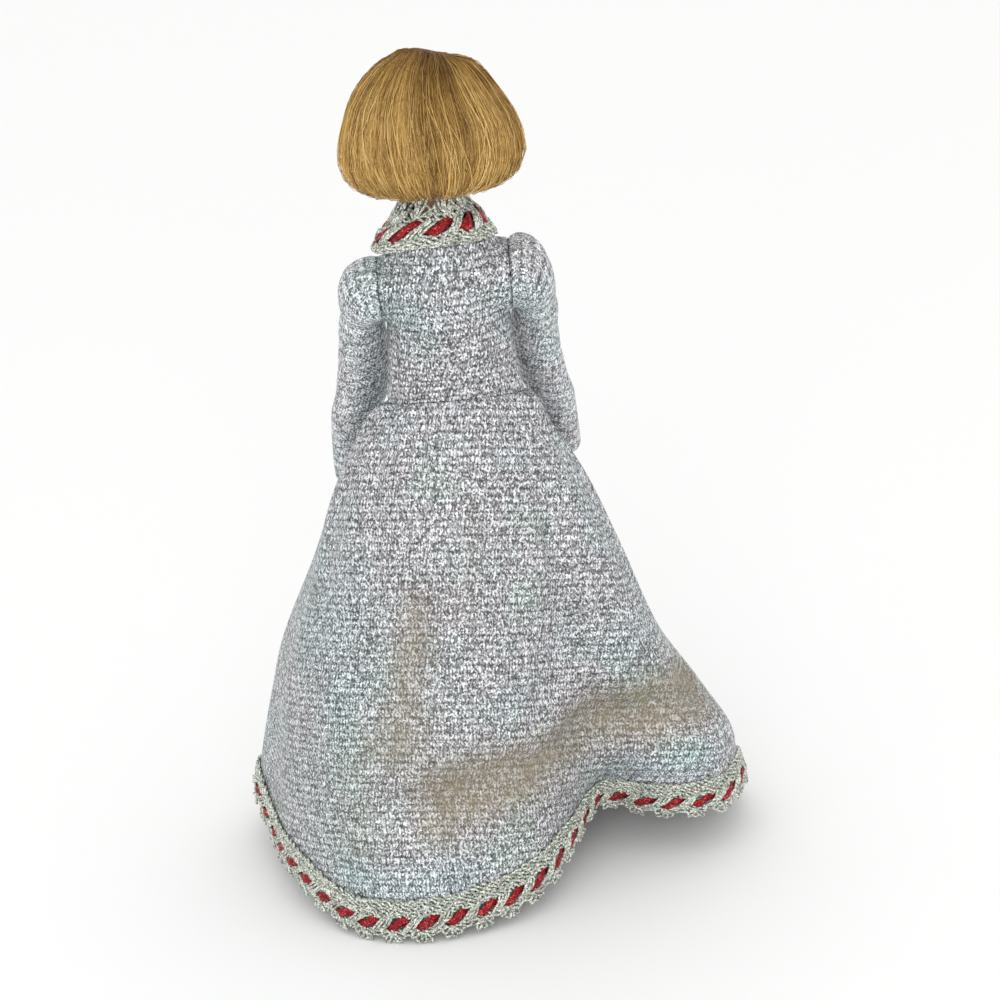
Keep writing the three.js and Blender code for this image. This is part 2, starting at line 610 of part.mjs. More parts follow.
// Collar: lace that lies on the shoulders and stands up round the neck, with the ribbon on it
const COLLAR = [
  [COLLAR_BOTTOM, NECK_RADIUS + 16.8, NECK_RADIUS + 9, 0.3 * COLLAR_SHIFT, 0.6],
  [NECKLINE_HEIGHT - 0.32 * COLLAR_FALL, NECK_RADIUS + 10.4, NECK_RADIUS + 7.2, 0.5 * COLLAR_SHIFT, 0.5],
  [NECKLINE_HEIGHT + 0.06 * COLLAR_RISE, NECK_RADIUS + 7.7, NECK_RADIUS + 6, COLLAR_SHIFT, 0.2],
  [COLLAR_TOP, NECK_RADIUS + 6.9, NECK_RADIUS + 5.4, 1.5 * COLLAR_SHIFT, 0],
];

function ovalAt(sections, z) {
  const i = sections.findIndex((s, k) => k + 1 < sections.length && z <= sections[k + 1][0]);
  const [low, high] = [sections[i], sections[i + 1]];
  const share = (z - low[0]) / (high[0] - low[0]);
  return [z, ...[1, 2, 3, 4].map((k) => low[k] + share * (high[k] - low[k]))];
}

function band(sections, outset, thickness) {
  const wall = sections.map(([z, a, b, x, y]) => [z, a + outset, b + outset, x, y]);
  const lining = wall.map(([z, a, b, x, y]) => [z, a - thickness, b - thickness, x, y]);
  const past = (section, by) => [section[0] + by, ...section.slice(1)];
  const hole = [past(lining[0], -thickness), ...lining, past(lining.at(-1), thickness)];
  return levels(wall, TORSO_SIDES).subtract(levels(hole, TORSO_SIDES));
}

function collar() {
  addMesh("collar_lace", band(COLLAR, 0, LACE), laceThread);
  const ribbonBottom = NECKLINE_HEIGHT - 0.6;
  const ribbonTop = NECKLINE_HEIGHT + 2.4;
  const ribbon = [ribbonBottom, COLLAR[2][0], ribbonTop].map((z) => ovalAt(COLLAR, z));
  addMesh("collar_ribbon", band(ribbon, RIBBON + GAP, RIBBON), redRibbon);
}

// Skirt: one sheet that flares from the waist and opens into hanging folds
const hemCurve = new THREE.CatmullRomCurve3(HEM, true, "centripetal");

// A smooth curve through [place, value] knots.
function smooth(knots, place) {
  const slope = (i) => {
    const low = knots[Math.max(0, i - 1)];
    const high = knots[Math.min(knots.length - 1, i + 1)];
    return (high[1] - low[1]) / (high[0] - low[0]);
  };
  const i = Math.max(0, knots.findLastIndex((knot, k) => k + 1 < knots.length && knot[0] <= place));
  const step = knots[i + 1][0] - knots[i][0];
  const u = (place - knots[i][0]) / step;
  return (
    (2 * u ** 3 - 3 * u ** 2 + 1) * knots[i][1] +
    (u ** 3 - 2 * u ** 2 + u) * step * slope(i) +
    (3 * u ** 2 - 2 * u ** 3) * knots[i + 1][1] +
    (u ** 3 - u ** 2) * step * slope(i + 1)
  );
}

function skirtPoint(s, t) {
  const around = HEM_START + 2 * Math.PI * s;
  const turn = new THREE.Vector3(Math.cos(around), Math.sin(around), 0);
  const waist = turn.clone().multiply(new THREE.Vector3(WAIST_HALF_WIDTH, WAIST_HALF_DEPTH, 0));
  const out = turn.clone().multiply(HEM_RADII).add(HEM_MIDDLE);
  const hem = hemCurve.getPoint(((s % 1) + 1) % 1);
  const fold = hem.clone().sub(out);
  const leftness = (1 + turn.x) / 2;
  const swell = THREE.MathUtils.lerp(smooth(SWELL_RIGHT, t), smooth(SWELL_LEFT, t), leftness);
  return waist
    .clone()
    .lerp(out, swell)
    .addScaledVector(fold, t ** FOLD_GROWTH)
    .setZ(THREE.MathUtils.lerp(WAIST_HEIGHT + WAIST_TILT * waist.y, hem.z, t));
}

function skirtNormal(s, t) {
  const step = 1e-3;
  const across = skirtPoint(s + step, t).sub(skirtPoint(s - step, t));
  const down = skirtPoint(s, Math.min(1, t + step)).sub(skirtPoint(s, Math.max(0, t - step)));
  return down.cross(across).normalize();
}

// A closed band of the skirt between two heights, from one offset outside the skirt's surface to another.
function skirtBand(start, end, inside, outside, rows) {
  const ring = (t, offset) =>
    Array.from({ length: SKIRT_SIDES }, (_, j) => {
      const s = j / SKIRT_SIDES;
      return skirtPoint(s, t).addScaledVector(skirtNormal(s, t), offset);
    });
  const shares = Array.from({ length: rows + 1 }, (_, i) => start + ((end - start) * i) / rows);
  const rings = [...shares.map((t) => ring(t, inside)), ...shares.reverse().map((t) => ring(t, outside))];
  const corners = rings.flat();
  const faces = [];
  for (let i = 0; i < rings.length; i++) {
    for (let j = 0; j < SKIRT_SIDES; j++) {
      const k = (j + 1) % SKIRT_SIDES;
      const here = i * SKIRT_SIDES;
      const next = ((i + 1) % rings.length) * SKIRT_SIDES;
      faces.push(here + j, here + k, next + k, here + j, next + k, next + j);
    }
  }
  const geometry = new THREE.BufferGeometry().setFromPoints(corners);
  geometry.setIndex(faces);
  return solidOf(geometry);
}

function skirt() {
  const belowFloor = boxSolid([-FAR, -FAR, -FAR], [FAR, FAR, 0]);
  const laceInside = GAP;
  const laceOutside = GAP + LACE;
  addMesh("skirt", skirtBand(0, CLOTH_END, -CLOTH, 0, SKIRT_ROWS).subtract(belowFloor), silverKnit);
  const lace = skirtBand(LACE_START, 1, laceInside, laceOutside, 2);
  addMesh("hem_lace", lace.subtract(belowFloor), laceThread);
  const ribbonInside = laceOutside + GAP;
  const ribbon = skirtBand(RIBBON_START, RIBBON_END, ribbonInside, ribbonInside + RIBBON, 1);
  addMesh("hem_ribbon", ribbon, redRibbon);
}

torsoShells();
neckPost();
head();
hair();
armsAndSleeves();
legsAndShoes();
bodice();
collar();
skirt();

const spread = new THREE.Box3().setFromObject(group).getCenter(new THREE.Vector3());
group.position.set(-spread.x, -spread.y, 0);

export default group;
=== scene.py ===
# %% [markdown]
# # A dressed fashion doll
# The doll stands with its back to us: a blonde bob, a long gown of silver glitter knit, and crocheted
# lace with a red ribbon threaded through it at the neck and the hem. The solids of the doll are already
# packed as a fixed frame. This lesson builds what the eye sees round that frame, piece by piece.

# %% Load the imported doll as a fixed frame
import json
import math

import bpy
import numpy as np
from mathutils import Matrix


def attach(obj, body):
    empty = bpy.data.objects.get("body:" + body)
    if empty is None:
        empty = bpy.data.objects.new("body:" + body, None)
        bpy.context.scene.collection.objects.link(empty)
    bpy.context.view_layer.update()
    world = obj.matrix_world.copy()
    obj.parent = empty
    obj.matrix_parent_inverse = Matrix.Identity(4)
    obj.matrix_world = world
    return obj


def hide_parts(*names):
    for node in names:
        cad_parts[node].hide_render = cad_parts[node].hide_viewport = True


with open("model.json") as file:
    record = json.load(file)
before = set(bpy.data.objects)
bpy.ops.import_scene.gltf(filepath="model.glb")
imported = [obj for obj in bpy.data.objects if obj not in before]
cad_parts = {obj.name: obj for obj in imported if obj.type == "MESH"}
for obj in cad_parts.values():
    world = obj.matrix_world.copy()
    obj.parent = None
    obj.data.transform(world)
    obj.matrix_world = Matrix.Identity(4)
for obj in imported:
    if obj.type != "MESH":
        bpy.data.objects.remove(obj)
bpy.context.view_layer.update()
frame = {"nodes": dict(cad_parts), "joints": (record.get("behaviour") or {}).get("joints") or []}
bpy.ops.object.select_all(action="DESELECT")
bpy.context.scene.view_settings.view_transform = "Standard"
print("solids loaded:", len(frame["nodes"]))

# %% [markdown]
# A gown is easiest to think of in millimetres from the doll's own axis, with the floor at zero. The frame
# counts in metres from the middle of the hem, so one small function carries points across.

# %% Work in the doll's own millimetres
MM = 0.001
TURN = 2 * math.pi  # all the way round
joint_at = {joint["name"]: np.array(joint["pos_m"]) for joint in frame["joints"]}
DOLL_AXIS = joint_at["head_turn"] * (1, 1, 0)


def xyz(*parts):
    """Points from their separate coordinates."""
    return np.stack(parts, -1)


def place(points):
    """Doll millimetres as metres in the frame."""
    return DOLL_AXIS + np.asarray(points, float) * MM


print("doll axis at", DOLL_AXIS.round(5))

# %% [markdown]
# ## Camera, light and floor
# The photograph looks down on the doll's back from a little above, with the camera turned slightly on
# its own axis. The camera is set from those angles, so that the render has the photograph's frame.

# %% Set up the camera
VIEW_ELEVATION = math.radians(24)
VIEW_ROLL = math.radians(5.36)
VIEW_DISTANCE = 750
VIEW_TARGET = np.array([-10.84, 0, 141.96])
PHOTO_PIXELS = 1000
FOCAL_PIXELS = 2283.7
NEAREST = 0.01


def aim(item, right, back, middle):
    """Sets a camera or a lamp at its middle, with its own right, looking away from back."""
    axes = np.c_[right, np.cross(back, right), back, middle]
    item.matrix_world = Matrix(axes.tolist() + [[0, 0, 0, 1]])


view_back = np.array([0, math.cos(VIEW_ELEVATION), math.sin(VIEW_ELEVATION)])
level_right = np.array([-1.0, 0, 0])
level_up = np.cross(view_back, level_right)
view_right = level_right * math.cos(VIEW_ROLL) - level_up * math.sin(VIEW_ROLL)
bpy.ops.object.camera_add()
camera = bpy.context.object
camera.data.sensor_fit = "HORIZONTAL"
camera.data.lens = FOCAL_PIXELS / PHOTO_PIXELS * camera.data.sensor_width
camera.data.clip_start = NEAREST
aim(camera, view_right, view_back, place(VIEW_TARGET + view_back * VIEW_DISTANCE))
bpy.context.scene.camera = camera
print("lens", round(camera.data.lens, 2), "mm")

# %% [markdown]
# The picture has an even, shadowless light and a white ground. A bright surround gives most of the
# light, one broad lamp over the camera's shoulder models the folds, and the floor is a pale plain sheet.

# %% Light the doll and lay the floor
WHITE = (1, 1, 1, 1)
WORLD_STRENGTH = 1.0
KEY_WATTS = 3.4
KEY_SIZE = 0.8
KEY_FROM = (80, 1120, 560)
KEY_AT = (0, 0, 130)
FLOOR_SIZE = 8.0
FLOOR_DROP = 0.0002
FLOOR_COLOUR = (0.96, 0.96, 0.955, 1)
FLOOR_ROUGHNESS = 0.8

world = bpy.data.worlds.new("studio_surround")
world.use_nodes = True
world.node_tree.nodes["Background"].inputs["Color"].default_value = WHITE
world.node_tree.nodes["Background"].inputs["Strength"].default_value = WORLD_STRENGTH
bpy.context.scene.world = world

key_from = place(KEY_FROM)
key_back = key_from - place(KEY_AT)
key_back /= np.linalg.norm(key_back)
key_right = np.cross((0, 0, 1), key_back)
key_right /= np.linalg.norm(key_right)
bpy.ops.object.light_add(type="AREA")
key = bpy.context.object
key.data.energy = KEY_WATTS
key.data.size = KEY_SIZE
aim(key, key_right, key_back, key_from)

bpy.ops.mesh.primitive_plane_add(size=FLOOR_SIZE, location=(0, 0, -FLOOR_DROP))
floor = bpy.context.object
floor.name = "floor"
floor_paint = bpy.data.materials.new("pale_floor")
floor_paint.use_nodes = True
floor_shader = floor_paint.node_tree.nodes["Principled BSDF"]
floor_shader.inputs["Base Color"].default_value = FLOOR_COLOUR
floor_shader.inputs["Roughness"].default_value = FLOOR_ROUGHNESS
floor.data.materials.append(floor_paint)
print("lamp", KEY_WATTS, "W, floor", FLOOR_SIZE, "m")

# %% [markdown]
# ## Tools of the bench
# Cloth, skin and hair all start from the same few moves: a flat grid that is bent into shape, an edit
# on the whole of a piece, a modifier that is applied at once, and a thread laid along a path.

# %% Read and write a piece's points
def get_points(piece):
    """The piece's points as rows of x, y, z in metres."""
    flat = np.empty(len(piece.data.vertices) * 3)
    piece.data.vertices.foreach_get("co", flat)
    return flat.reshape(-1, 3)


def set_points(piece, points):
    """Moves the piece's points."""
    piece.data.vertices.foreach_set("co", np.asarray(points, np.float32).ravel())
    piece.data.update()


def pick(piece):
    """Makes the piece the only selected one, and the active one."""
    bpy.ops.object.select_all(action="DESELECT")
    piece.select_set(True)
    bpy.context.view_layer.objects.active = piece


def edit_all(piece, operator, **options):
    """Runs one edit-mode operator on the whole of a piece."""
    pick(piece)
    bpy.ops.object.mode_set(mode="EDIT")
    bpy.ops.mesh.select_all(action="SELECT")
    operator(**options)
    bpy.ops.object.mode_set(mode="OBJECT")


def apply_modifier(piece, kind, **settings):
    """Adds a modifier and applies it at once."""
    pick(piece)
    bpy.ops.object.modifier_add(type=kind)
    modifier = piece.modifiers[-1]
    for name, value in settings.items():
        setattr(modifier, name, value)
    bpy.ops.object.modifier_apply(modifier=modifier.name)


def thicken(piece, thickness):
    """Gives a sheet its thickness in millimetres, inwards."""
    apply_modifier(piece, "SOLIDIFY", thickness=thickness * MM, offset=-1)


# %% Bend a flat grid into a sheet
MERGE = 1e-6  # points closer than this are one
GRID_DIGITS = 6  # enough to tell the grid's rows apart


def set_mark(piece, name, values):
    """Stores one number for each point of a piece."""
    mark = piece.data.attributes.new(name, "FLOAT", "POINT")
    mark.data.foreach_set("value", np.asarray(values, np.float32))


def bent_grid(name, columns, rows, surface, marks=None, knit_rows=None):
    """A flat grid bent by surface(across, down), both from 0 to 1, with a UV map in millimetres.

    Across is measured from the grid's middle column. Down follows the grid's own rows, unless knit_rows
    gives it from across, down and the bent points. Each of the marks is a function of across and down,
    whose values are stored on the points."""
    bpy.ops.object.select_all(action="DESELECT")
    bpy.ops.mesh.primitive_grid_add(x_subdivisions=columns, y_subdivisions=rows, size=1)
    piece = bpy.context.object
    piece.name = name
    piece.data.name = name
    flat = get_points(piece)
    across, down = flat[:, 0] + 0.5, 0.5 - flat[:, 1]
    points = surface(across, down)
    order = np.lexsort((across.round(GRID_DIGITS), down.round(GRID_DIGITS)))
    lattice = points[order].reshape(rows + 1, columns + 1, 3)
    steps = np.linalg.norm(np.diff(lattice, axis=1), axis=2)
    along = np.pad(np.cumsum(steps, axis=1), ((0, 0), (1, 0)))
    along -= along[:, columns // 2, None]
    drop = np.linalg.norm(np.diff(lattice, axis=0), axis=2).sum(axis=0).mean()
    uv = np.empty((len(points), 2))
    uv[order, 0] = along.ravel()
    uv[:, 1] = knit_rows(across, down, points) if knit_rows else down * drop
    corners = np.empty(len(piece.data.loops), int)
    piece.data.loops.foreach_get("vertex_index", corners)
    piece.data.uv_layers[0].data.foreach_set("uv", uv[corners].astype(np.float32).ravel())
    set_points(piece, place(points))
    for mark, rule in (marks or {}).items():
        set_mark(piece, mark, rule(across, down))
    edit_all(piece, bpy.ops.mesh.remove_doubles, threshold=MERGE)
    return piece


# %% Lay threads along paths
def threads(name, paths, radius, ring=1, taper=None):
    """Round threads along paths of doll millimetres, as one mesh. A path is (points, closed)."""
    curve = bpy.data.curves.new(name, "CURVE")
    curve.dimensions = "3D"
    curve.bevel_depth = radius * MM
    curve.bevel_resolution = ring
    curve.use_fill_caps = True
    for points, closed in paths:
        spline = curve.splines.new("POLY")
        spline.points.add(len(points) - 1)
        spline.points.foreach_set("co", np.c_[place(points), np.ones(len(points))].ravel())
        if taper is not None:
            spline.points.foreach_set("radius", taper)
        spline.use_cyclic_u = closed
    piece = bpy.data.objects.new(name, curve)
    bpy.context.collection.objects.link(piece)
    pick(piece)
    bpy.ops.object.convert(target="MESH")
    piece.data.name = name
    return piece


# %% Finish a piece and fix it to a body of the doll
def fit(piece, body, finish, *nodes):
    """Smooths the piece, gives it its finish, and lets it ride on a body in place of some solids."""
    pick(piece)
    bpy.ops.object.shade_smooth()
    piece.data.materials.clear()
    piece.data.materials.append(finish.material)
    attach(piece, body)
    if nodes:
        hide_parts(*nodes)
    piece.data.calc_loop_triangles()
    print(f"{piece.name}: {len(piece.data.loop_triangles)} triangles on {body}")


# %% Curves through measured points
def through(places, values, at):
    """A smooth curve through those values at those places."""
    x, y = np.array(places, float), np.array(values, float)
    low = np.maximum(np.arange(len(x)) - 1, 0)
    high = np.minimum(np.arange(len(x)) + 1, len(x) - 1)
    slope = (y[high] - y[low]) / (x[high] - x[low])
    at = np.clip(np.asarray(at, float), x[0], x[-1])
    i = np.clip(np.searchsorted(x, at, side="right") - 1, 0, len(x) - 2)
    step = x[i + 1] - x[i]
    u = (at - x[i]) / step
    start = (2 * u**3 - 3 * u**2 + 1) * y[i] + (u**3 - 2 * u**2 + u) * step * slope[i]
    return start + (3 * u**2 - 2 * u**3) * y[i + 1] + (u**3 - u**2) * step * slope[i + 1]


def ease(low, high, value):
    """0 below low, 1 above high, and a smooth step between."""
    u = np.clip((np.asarray(value, float) - low) / (high - low), 0, 1)
    return u * u * (3 - 2 * u)


def bell(value, middle, width):
    """1 in the middle, falling away smoothly over the width."""
    return np.exp(-(((value - middle) / width) ** 2))


def mix(a, b, share):
    """The value that share of the way from a to b."""
    return a + (b - a) * share


print("bench ready")

# %% [markdown]
# ## Finishes
# Every finish is a small graph of nodes round one shader. A finish can add a node, map a number to
# colours and mix colours. The numbers in it are summed and multiplied as if they were plain ones, and
# each of these steps becomes a node of the graph.

# %% Helpers for building finishes
class Number:
    """A number that varies over a finish."""

    def __init__(self, finish, socket):
        self.finish = finish
        self.socket = socket

    def __add__(self, other):
        return self.finish.sums("ADD", self, other)

    def __sub__(self, other):
        return self.finish.sums("SUBTRACT", self, other)

    def __mul__(self, other):
        return self.finish.sums("MULTIPLY", self, other)


class Finish:
    """A material, as a graph of nodes round one shader."""

    def __init__(self, name, slot=None):
        self.material = bpy.data.materials.new(name)
        self.material.use_nodes = True
        self.slot = slot or name

    def join(self, node, inputs):
        """Sets a node's inputs to plain values, or joins them to another node's output."""
        for name, value in inputs.items():
            value = getattr(value, "socket", value)
            if isinstance(value, bpy.types.NodeSocket):
                self.material.node_tree.links.new(value, node.inputs[name])
            else:
                node.inputs[name].default_value = value

    def add(self, kind, inputs, **settings):
        """Adds a shader node of that kind, and gives its outputs."""
        node = self.material.node_tree.nodes.new("ShaderNode" + kind)
        for name, value in settings.items():
            setattr(node, name, value)
        self.join(node, inputs)
        return node.outputs

    def shade(self, inputs):
        """Sets the shader's own sockets."""
        self.join(self.material.node_tree.nodes["Principled BSDF"], inputs)

    def number(self, output, kind, inputs, **settings):
        """One output of a new node, as a number."""
        return Number(self, self.add(kind, inputs, **settings)[output])

    def sums(self, operation, *terms):
        """The result of one sum."""
        return self.number(0, "Math", dict(enumerate(terms)), operation=operation)

    def mark(self, name):
        """The number that is stored under that name on a piece's points."""
        return self.number("Fac", "Attribute", {}, attribute_name=name)

    def uv(self):
        """The piece's UV map, in millimetres."""
        return self.add("UVMap", {})["UV"]

    def on_object(self, size, shift=(0, 0, 0)):
        """Object coordinates, counted in steps of that many millimetres and then shifted."""
        inputs = {"Vector": self.add("TexCoord", {})["Object"], "Scale": 1 / (np.ones(3) * size * MM)}
        return self.add("Mapping", {**inputs, "Location": shift})["Vector"]

    def parts(self, vector):
        """The three numbers of a vector or a colour."""
        return [Number(self, part) for part in self.add("SeparateXYZ", {"Vector": vector})]

    def colours(self, factor, stops):
        """A colour for each value of factor, through (place, colour) stops."""
        node = self.add("ValToRGB", {"Fac": factor})["Color"].node
        elements = node.color_ramp.elements
        elements[0].position, elements[1].position = stops[0][0], stops[-1][0]
        elements[0].color, elements[1].color = (*stops[0][1], 1), (*stops[-1][1], 1)
        for position, colour in stops[1:-1]:
            elements.new(position).color = (*colour, 1)
        return node.outputs["Color"]

    def blend(self, factor, a, b, how="MIX"):
        """Two colours mixed, or multiplied, by factor."""
        return self.add("Mix", {0: factor, 6: a, 7: b}, data_type="RGBA", blend_type=how)[2]

    def speckle(self, size):
        """A random number from 0 to 1 for each grain of that size in millimetres."""
        grains = self.add("TexVoronoi", {"Vector": self.on_object(size), "Scale": 1.0})
        return self.parts(grains["Color"])[0]

    def cloud(self, size, detail=2.0):
        """Soft noise whose patches are about that many millimetres wide."""
        inputs = {"Vector": self.on_object(size), "Scale": 1.0, "Detail": detail}
        return self.number("Fac", "TexNoise", inputs)

    def bump(self, height, depth, strength):
        """A bump of that depth in millimetres, joined to the shader."""
        inputs = {"Height": height, "Distance": depth * MM, "Strength": strength}
        self.shade({"Normal": self.add("Bump", inputs)["Normal"]})


print("finish helpers ready")

# %% [markdown]
# The gown's cloth is knitted from a flat metallic yarn. Level rows of small slanted stitches show as
# beaded ridges, with painted highlights on their tops and painted shade in the gaps between them. The
# yarn's glints are painted as bright and dull facets on fine random grains. The stitches follow the
# cloth's own UV map, which counts millimetres.

# %% Silver glitter knit
ROW_PITCH = 2.75
STITCH_PITCH = 1.15
STITCH_SLANT = 0.5
ROW_SHIFT = 0.5  # of a stitch, from one row to the next
KNIT_WANDER = 0.16  # of a row
WANDER_SCALE = 0.3
ROW_ROUNDNESS = 0.6
ROW_RISE = 0.6
STITCH_RISE = 0.4

silver_knit = Finish("silver_knit")
knit_uv = silver_knit.uv()
knit_round, knit_down, _ = silver_knit.parts(knit_uv)
knit_noise = silver_knit.number("Fac", "TexNoise", {"Vector": knit_uv, "Scale": WANDER_SCALE})
row_place = knit_down * (1 / ROW_PITCH) + knit_noise * KNIT_WANDER
row_number = silver_knit.sums("FLOOR", row_place)
row_share = silver_knit.sums("FRACT", row_place)
stitch_shift = row_share * STITCH_SLANT + knit_noise + row_number * ROW_SHIFT
stitch_place = knit_round * (1 / STITCH_PITCH) + stitch_shift
stitch_number = silver_knit.sums("FLOOR", stitch_place)
stitch_share = silver_knit.sums("FRACT", stitch_place)
row_dome = silver_knit.sums("POWER", silver_knit.sums("SINE", row_share * math.pi), ROW_ROUNDNESS)
stitch_dome = silver_knit.sums("SINE", stitch_share * math.pi)
knit_height = row_dome * ROW_RISE + stitch_dome * STITCH_RISE
print("knit rows", ROW_PITCH, "mm, stitches", STITCH_PITCH, "mm")

# %% The colour of the knit
GRAIN = np.array([0.4, 0.4, 0.66])
STITCH_FLASH = 0.14
GRAIN_FLASH = 0.6
RIDGE_FLASH = 0.24
GAP_TONE = 0.745
RIDGE_TONE = 0.32
GRAIN_GLOSS = -0.28
YARN_ROUGHNESS = 0.62
TINT_PATCH = 34
# painted brown shade on the skirt: the size and strength of its soft patches
BROWN_SHADE_PATCH = 6
BROWN_SHADE_LEAST = 0.15
BROWN_SHADE_RANGE = 0.9
FACET_GREYS = ((0.24, 0.07), (0.42, 0.19), (0.58, 0.38), (0.74, 0.74), (0.86, 0.98))
FACETS = [(position, (value, value, value)) for position, value in FACET_GREYS]
TINTS = [
    (0.3, (0.87, 1.0, 1.01)), (0.45, (0.94, 0.99, 1.02)), (0.58, (0.99, 0.97, 1.02)), (0.7, (0.9, 1.0, 0.97)),
]
# brown shade painted along the skirt's creases
BROWN_SHADE_PAINT = (0.25, 0.198, 0.112, 1)
# a bluish highlight painted where the skirt's cloth stands out and faces up
BLUISH_HIGHLIGHT = (0.98, 1.14, 1.16, 1)

stitch_cell = silver_knit.add("CombineXYZ", {0: stitch_number, 1: row_number})["Vector"]
stitch_luck = silver_knit.number("Value", "TexWhiteNoise", {"Vector": stitch_cell})
grain_luck = silver_knit.speckle(GRAIN)
# painted glints: random grains and stitches, and the tops of the ridges, are lighter
glitter = stitch_luck * STITCH_FLASH + grain_luck * GRAIN_FLASH + knit_height * RIDGE_FLASH
# painted light and shade: the sleeves are lighter, the bodice a little darker
glitter = glitter + silver_knit.mark("sheen")
# painted shade in the gaps between the rows
gap_shade = knit_height * RIDGE_TONE + GAP_TONE
knit_colour = silver_knit.blend(1.0, silver_knit.colours(glitter, FACETS), gap_shade, "MULTIPLY")
knit_tint = silver_knit.colours(silver_knit.cloud(TINT_PATCH), TINTS)
knit_colour = silver_knit.blend(1.0, knit_colour, knit_tint, "MULTIPLY")
# painted brown shade along the creases, broken into soft patches
patches = silver_knit.cloud(BROWN_SHADE_PATCH, 4.0) * BROWN_SHADE_RANGE + BROWN_SHADE_LEAST
knit_colour = silver_knit.blend(silver_knit.mark("painted_brown_shade") * patches, knit_colour, BROWN_SHADE_PAINT)
# painted bluish highlight where the cloth stands out between the creases
knit_colour = silver_knit.blend(silver_knit.mark("painted_highlight"), knit_colour, BLUISH_HIGHLIGHT, "MULTIPLY")
knit_roughness = grain_luck * GRAIN_GLOSS + YARN_ROUGHNESS
silver_knit.shade({"Base Color": knit_colour, "Metallic": 0.3, "Roughness": knit_roughness})
silver_knit.bump(knit_height, depth=0.34, strength=0.7)
print("knit finish made")

# %% [markdown]
# The lace is crocheted from a soft grey-green lamé thread, with a fine twist and a dull glitter, whose glints
# are painted as light and dark grains. The ribbon is a narrow red weave with metal in it; the flash of its
# ribs is painted, bright red on their tops and deep red between.

# %% Lace thread and red ribbon
PLY = [
    (0.25, (0.12, 0.13, 0.11)), (0.43, (0.33, 0.355, 0.3)),
    (0.58, (0.52, 0.55, 0.475)), (0.76, (0.94, 0.97, 0.89)),
]
PLY_GRAIN = 0.42
PLY_PATCH = 0.9
PLY_TWIST = 0.5
PLY_FLASH = 0.55
PLY_CLOUD = 0.5
lace_thread = Finish("lace_thread")
# painted glints: bright and dark grains in the thread's colour
ply_mix = lace_thread.speckle(PLY_GRAIN) * PLY_FLASH + lace_thread.cloud(PLY_PATCH, 3.0) * PLY_CLOUD
lace_thread.shade({"Base Color": lace_thread.colours(ply_mix, PLY), "Metallic": 0.2, "Roughness": 0.48})
lace_thread.bump(lace_thread.cloud(PLY_TWIST), depth=0.2, strength=0.6)

REDS = [
    (0.1, (0.07, 0.001, 0.004)), (0.5, (0.29, 0.006, 0.012)),
    (0.84, (0.58, 0.018, 0.028)), (0.98, (1.0, 0.32, 0.26)),
]
RIB_PITCH = 0.42
RIB_GRAIN = 0.5
RIB_SHARE = 0.3  # of the flash; the rest is in the grains
red_ribbon = Finish("red_ribbon")
# painted highlights on the ribs' tops and painted glints on fine grains
rib_turn = red_ribbon.parts(red_ribbon.uv())[0] * (TURN / RIB_PITCH)
rib_height = red_ribbon.sums("SINE", rib_turn) * 0.5 + 0.5
rib_flash = red_ribbon.speckle(RIB_GRAIN) * (1 - RIB_SHARE) + rib_height * RIB_SHARE
red_ribbon.shade({"Base Color": red_ribbon.colours(rib_flash, REDS), "Metallic": 0.6, "Roughness": 0.42})
red_ribbon.bump(rib_height, depth=0.12, strength=0.6)
print("lace and ribbon finishes made")

# %% [markdown]
# The doll itself is soft vinyl: a warm, slightly translucent skin with a satin face. The shoes are a
# harder moulding with a pearly silver gloss.

# %% Vinyl skin and shoe vinyl
SKIN = [(0.3, (0.60, 0.325, 0.21)), (0.7, (0.66, 0.37, 0.245))]
SKIN_PATCH = 9
SKIN_PORE = 0.7
SKIN_GLOW = (0.003, 0.0012, 0.0008)
PEARL = [(0.35, (0.45, 0.46, 0.48)), (0.65, (0.62, 0.63, 0.66))]
PEARL_PATCH = 1.2
PEARL_PORE = 0.5


def vinyl(name):
    """Doll vinyl, and the colour that it has before any paint."""
    finish = Finish(name, slot="vinyl_skin")
    tone = finish.colours(finish.cloud(SKIN_PATCH), SKIN)
    finish.shade({"Base Color": tone, "Roughness": 0.46, "Subsurface Weight": 0.12})
    finish.shade({"Subsurface Radius": SKIN_GLOW, "Subsurface Scale": 0.6})
    finish.bump(finish.cloud(SKIN_PORE), depth=0.03, strength=0.25)
    return finish, tone


vinyl_skin, _ = vinyl("vinyl_skin")
shoe_vinyl = Finish("shoe_vinyl")
pearl = shoe_vinyl.colours(shoe_vinyl.cloud(PEARL_PATCH, 4.0), PEARL)
shoe_vinyl.shade({"Base Color": pearl, "Metallic": 0.25, "Roughness": 0.3, "Coat Weight": 0.4})
shoe_vinyl.bump(shoe_vinyl.cloud(PEARL_PORE), depth=0.02, strength=0.3)
for node in ("torso_front", "torso_back", "neck_post"):
    frame["nodes"][node].data.materials.clear()
    frame["nodes"][node].data.materials.append(vinyl_skin.material)
print("vinyl on the torso and the neck post")

# %% [markdown]
# ## The skirt
# The skirt is one big sheet that is sewn to the waist and falls into deep folds at the hem. A cloth
# simulation would find folds of its own, but here the folds are known: the hem's outline is laid out
# point by point as it lies in the picture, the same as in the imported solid. The cloth between waist and
# hem swells out and takes on more of the folds the lower it hangs.

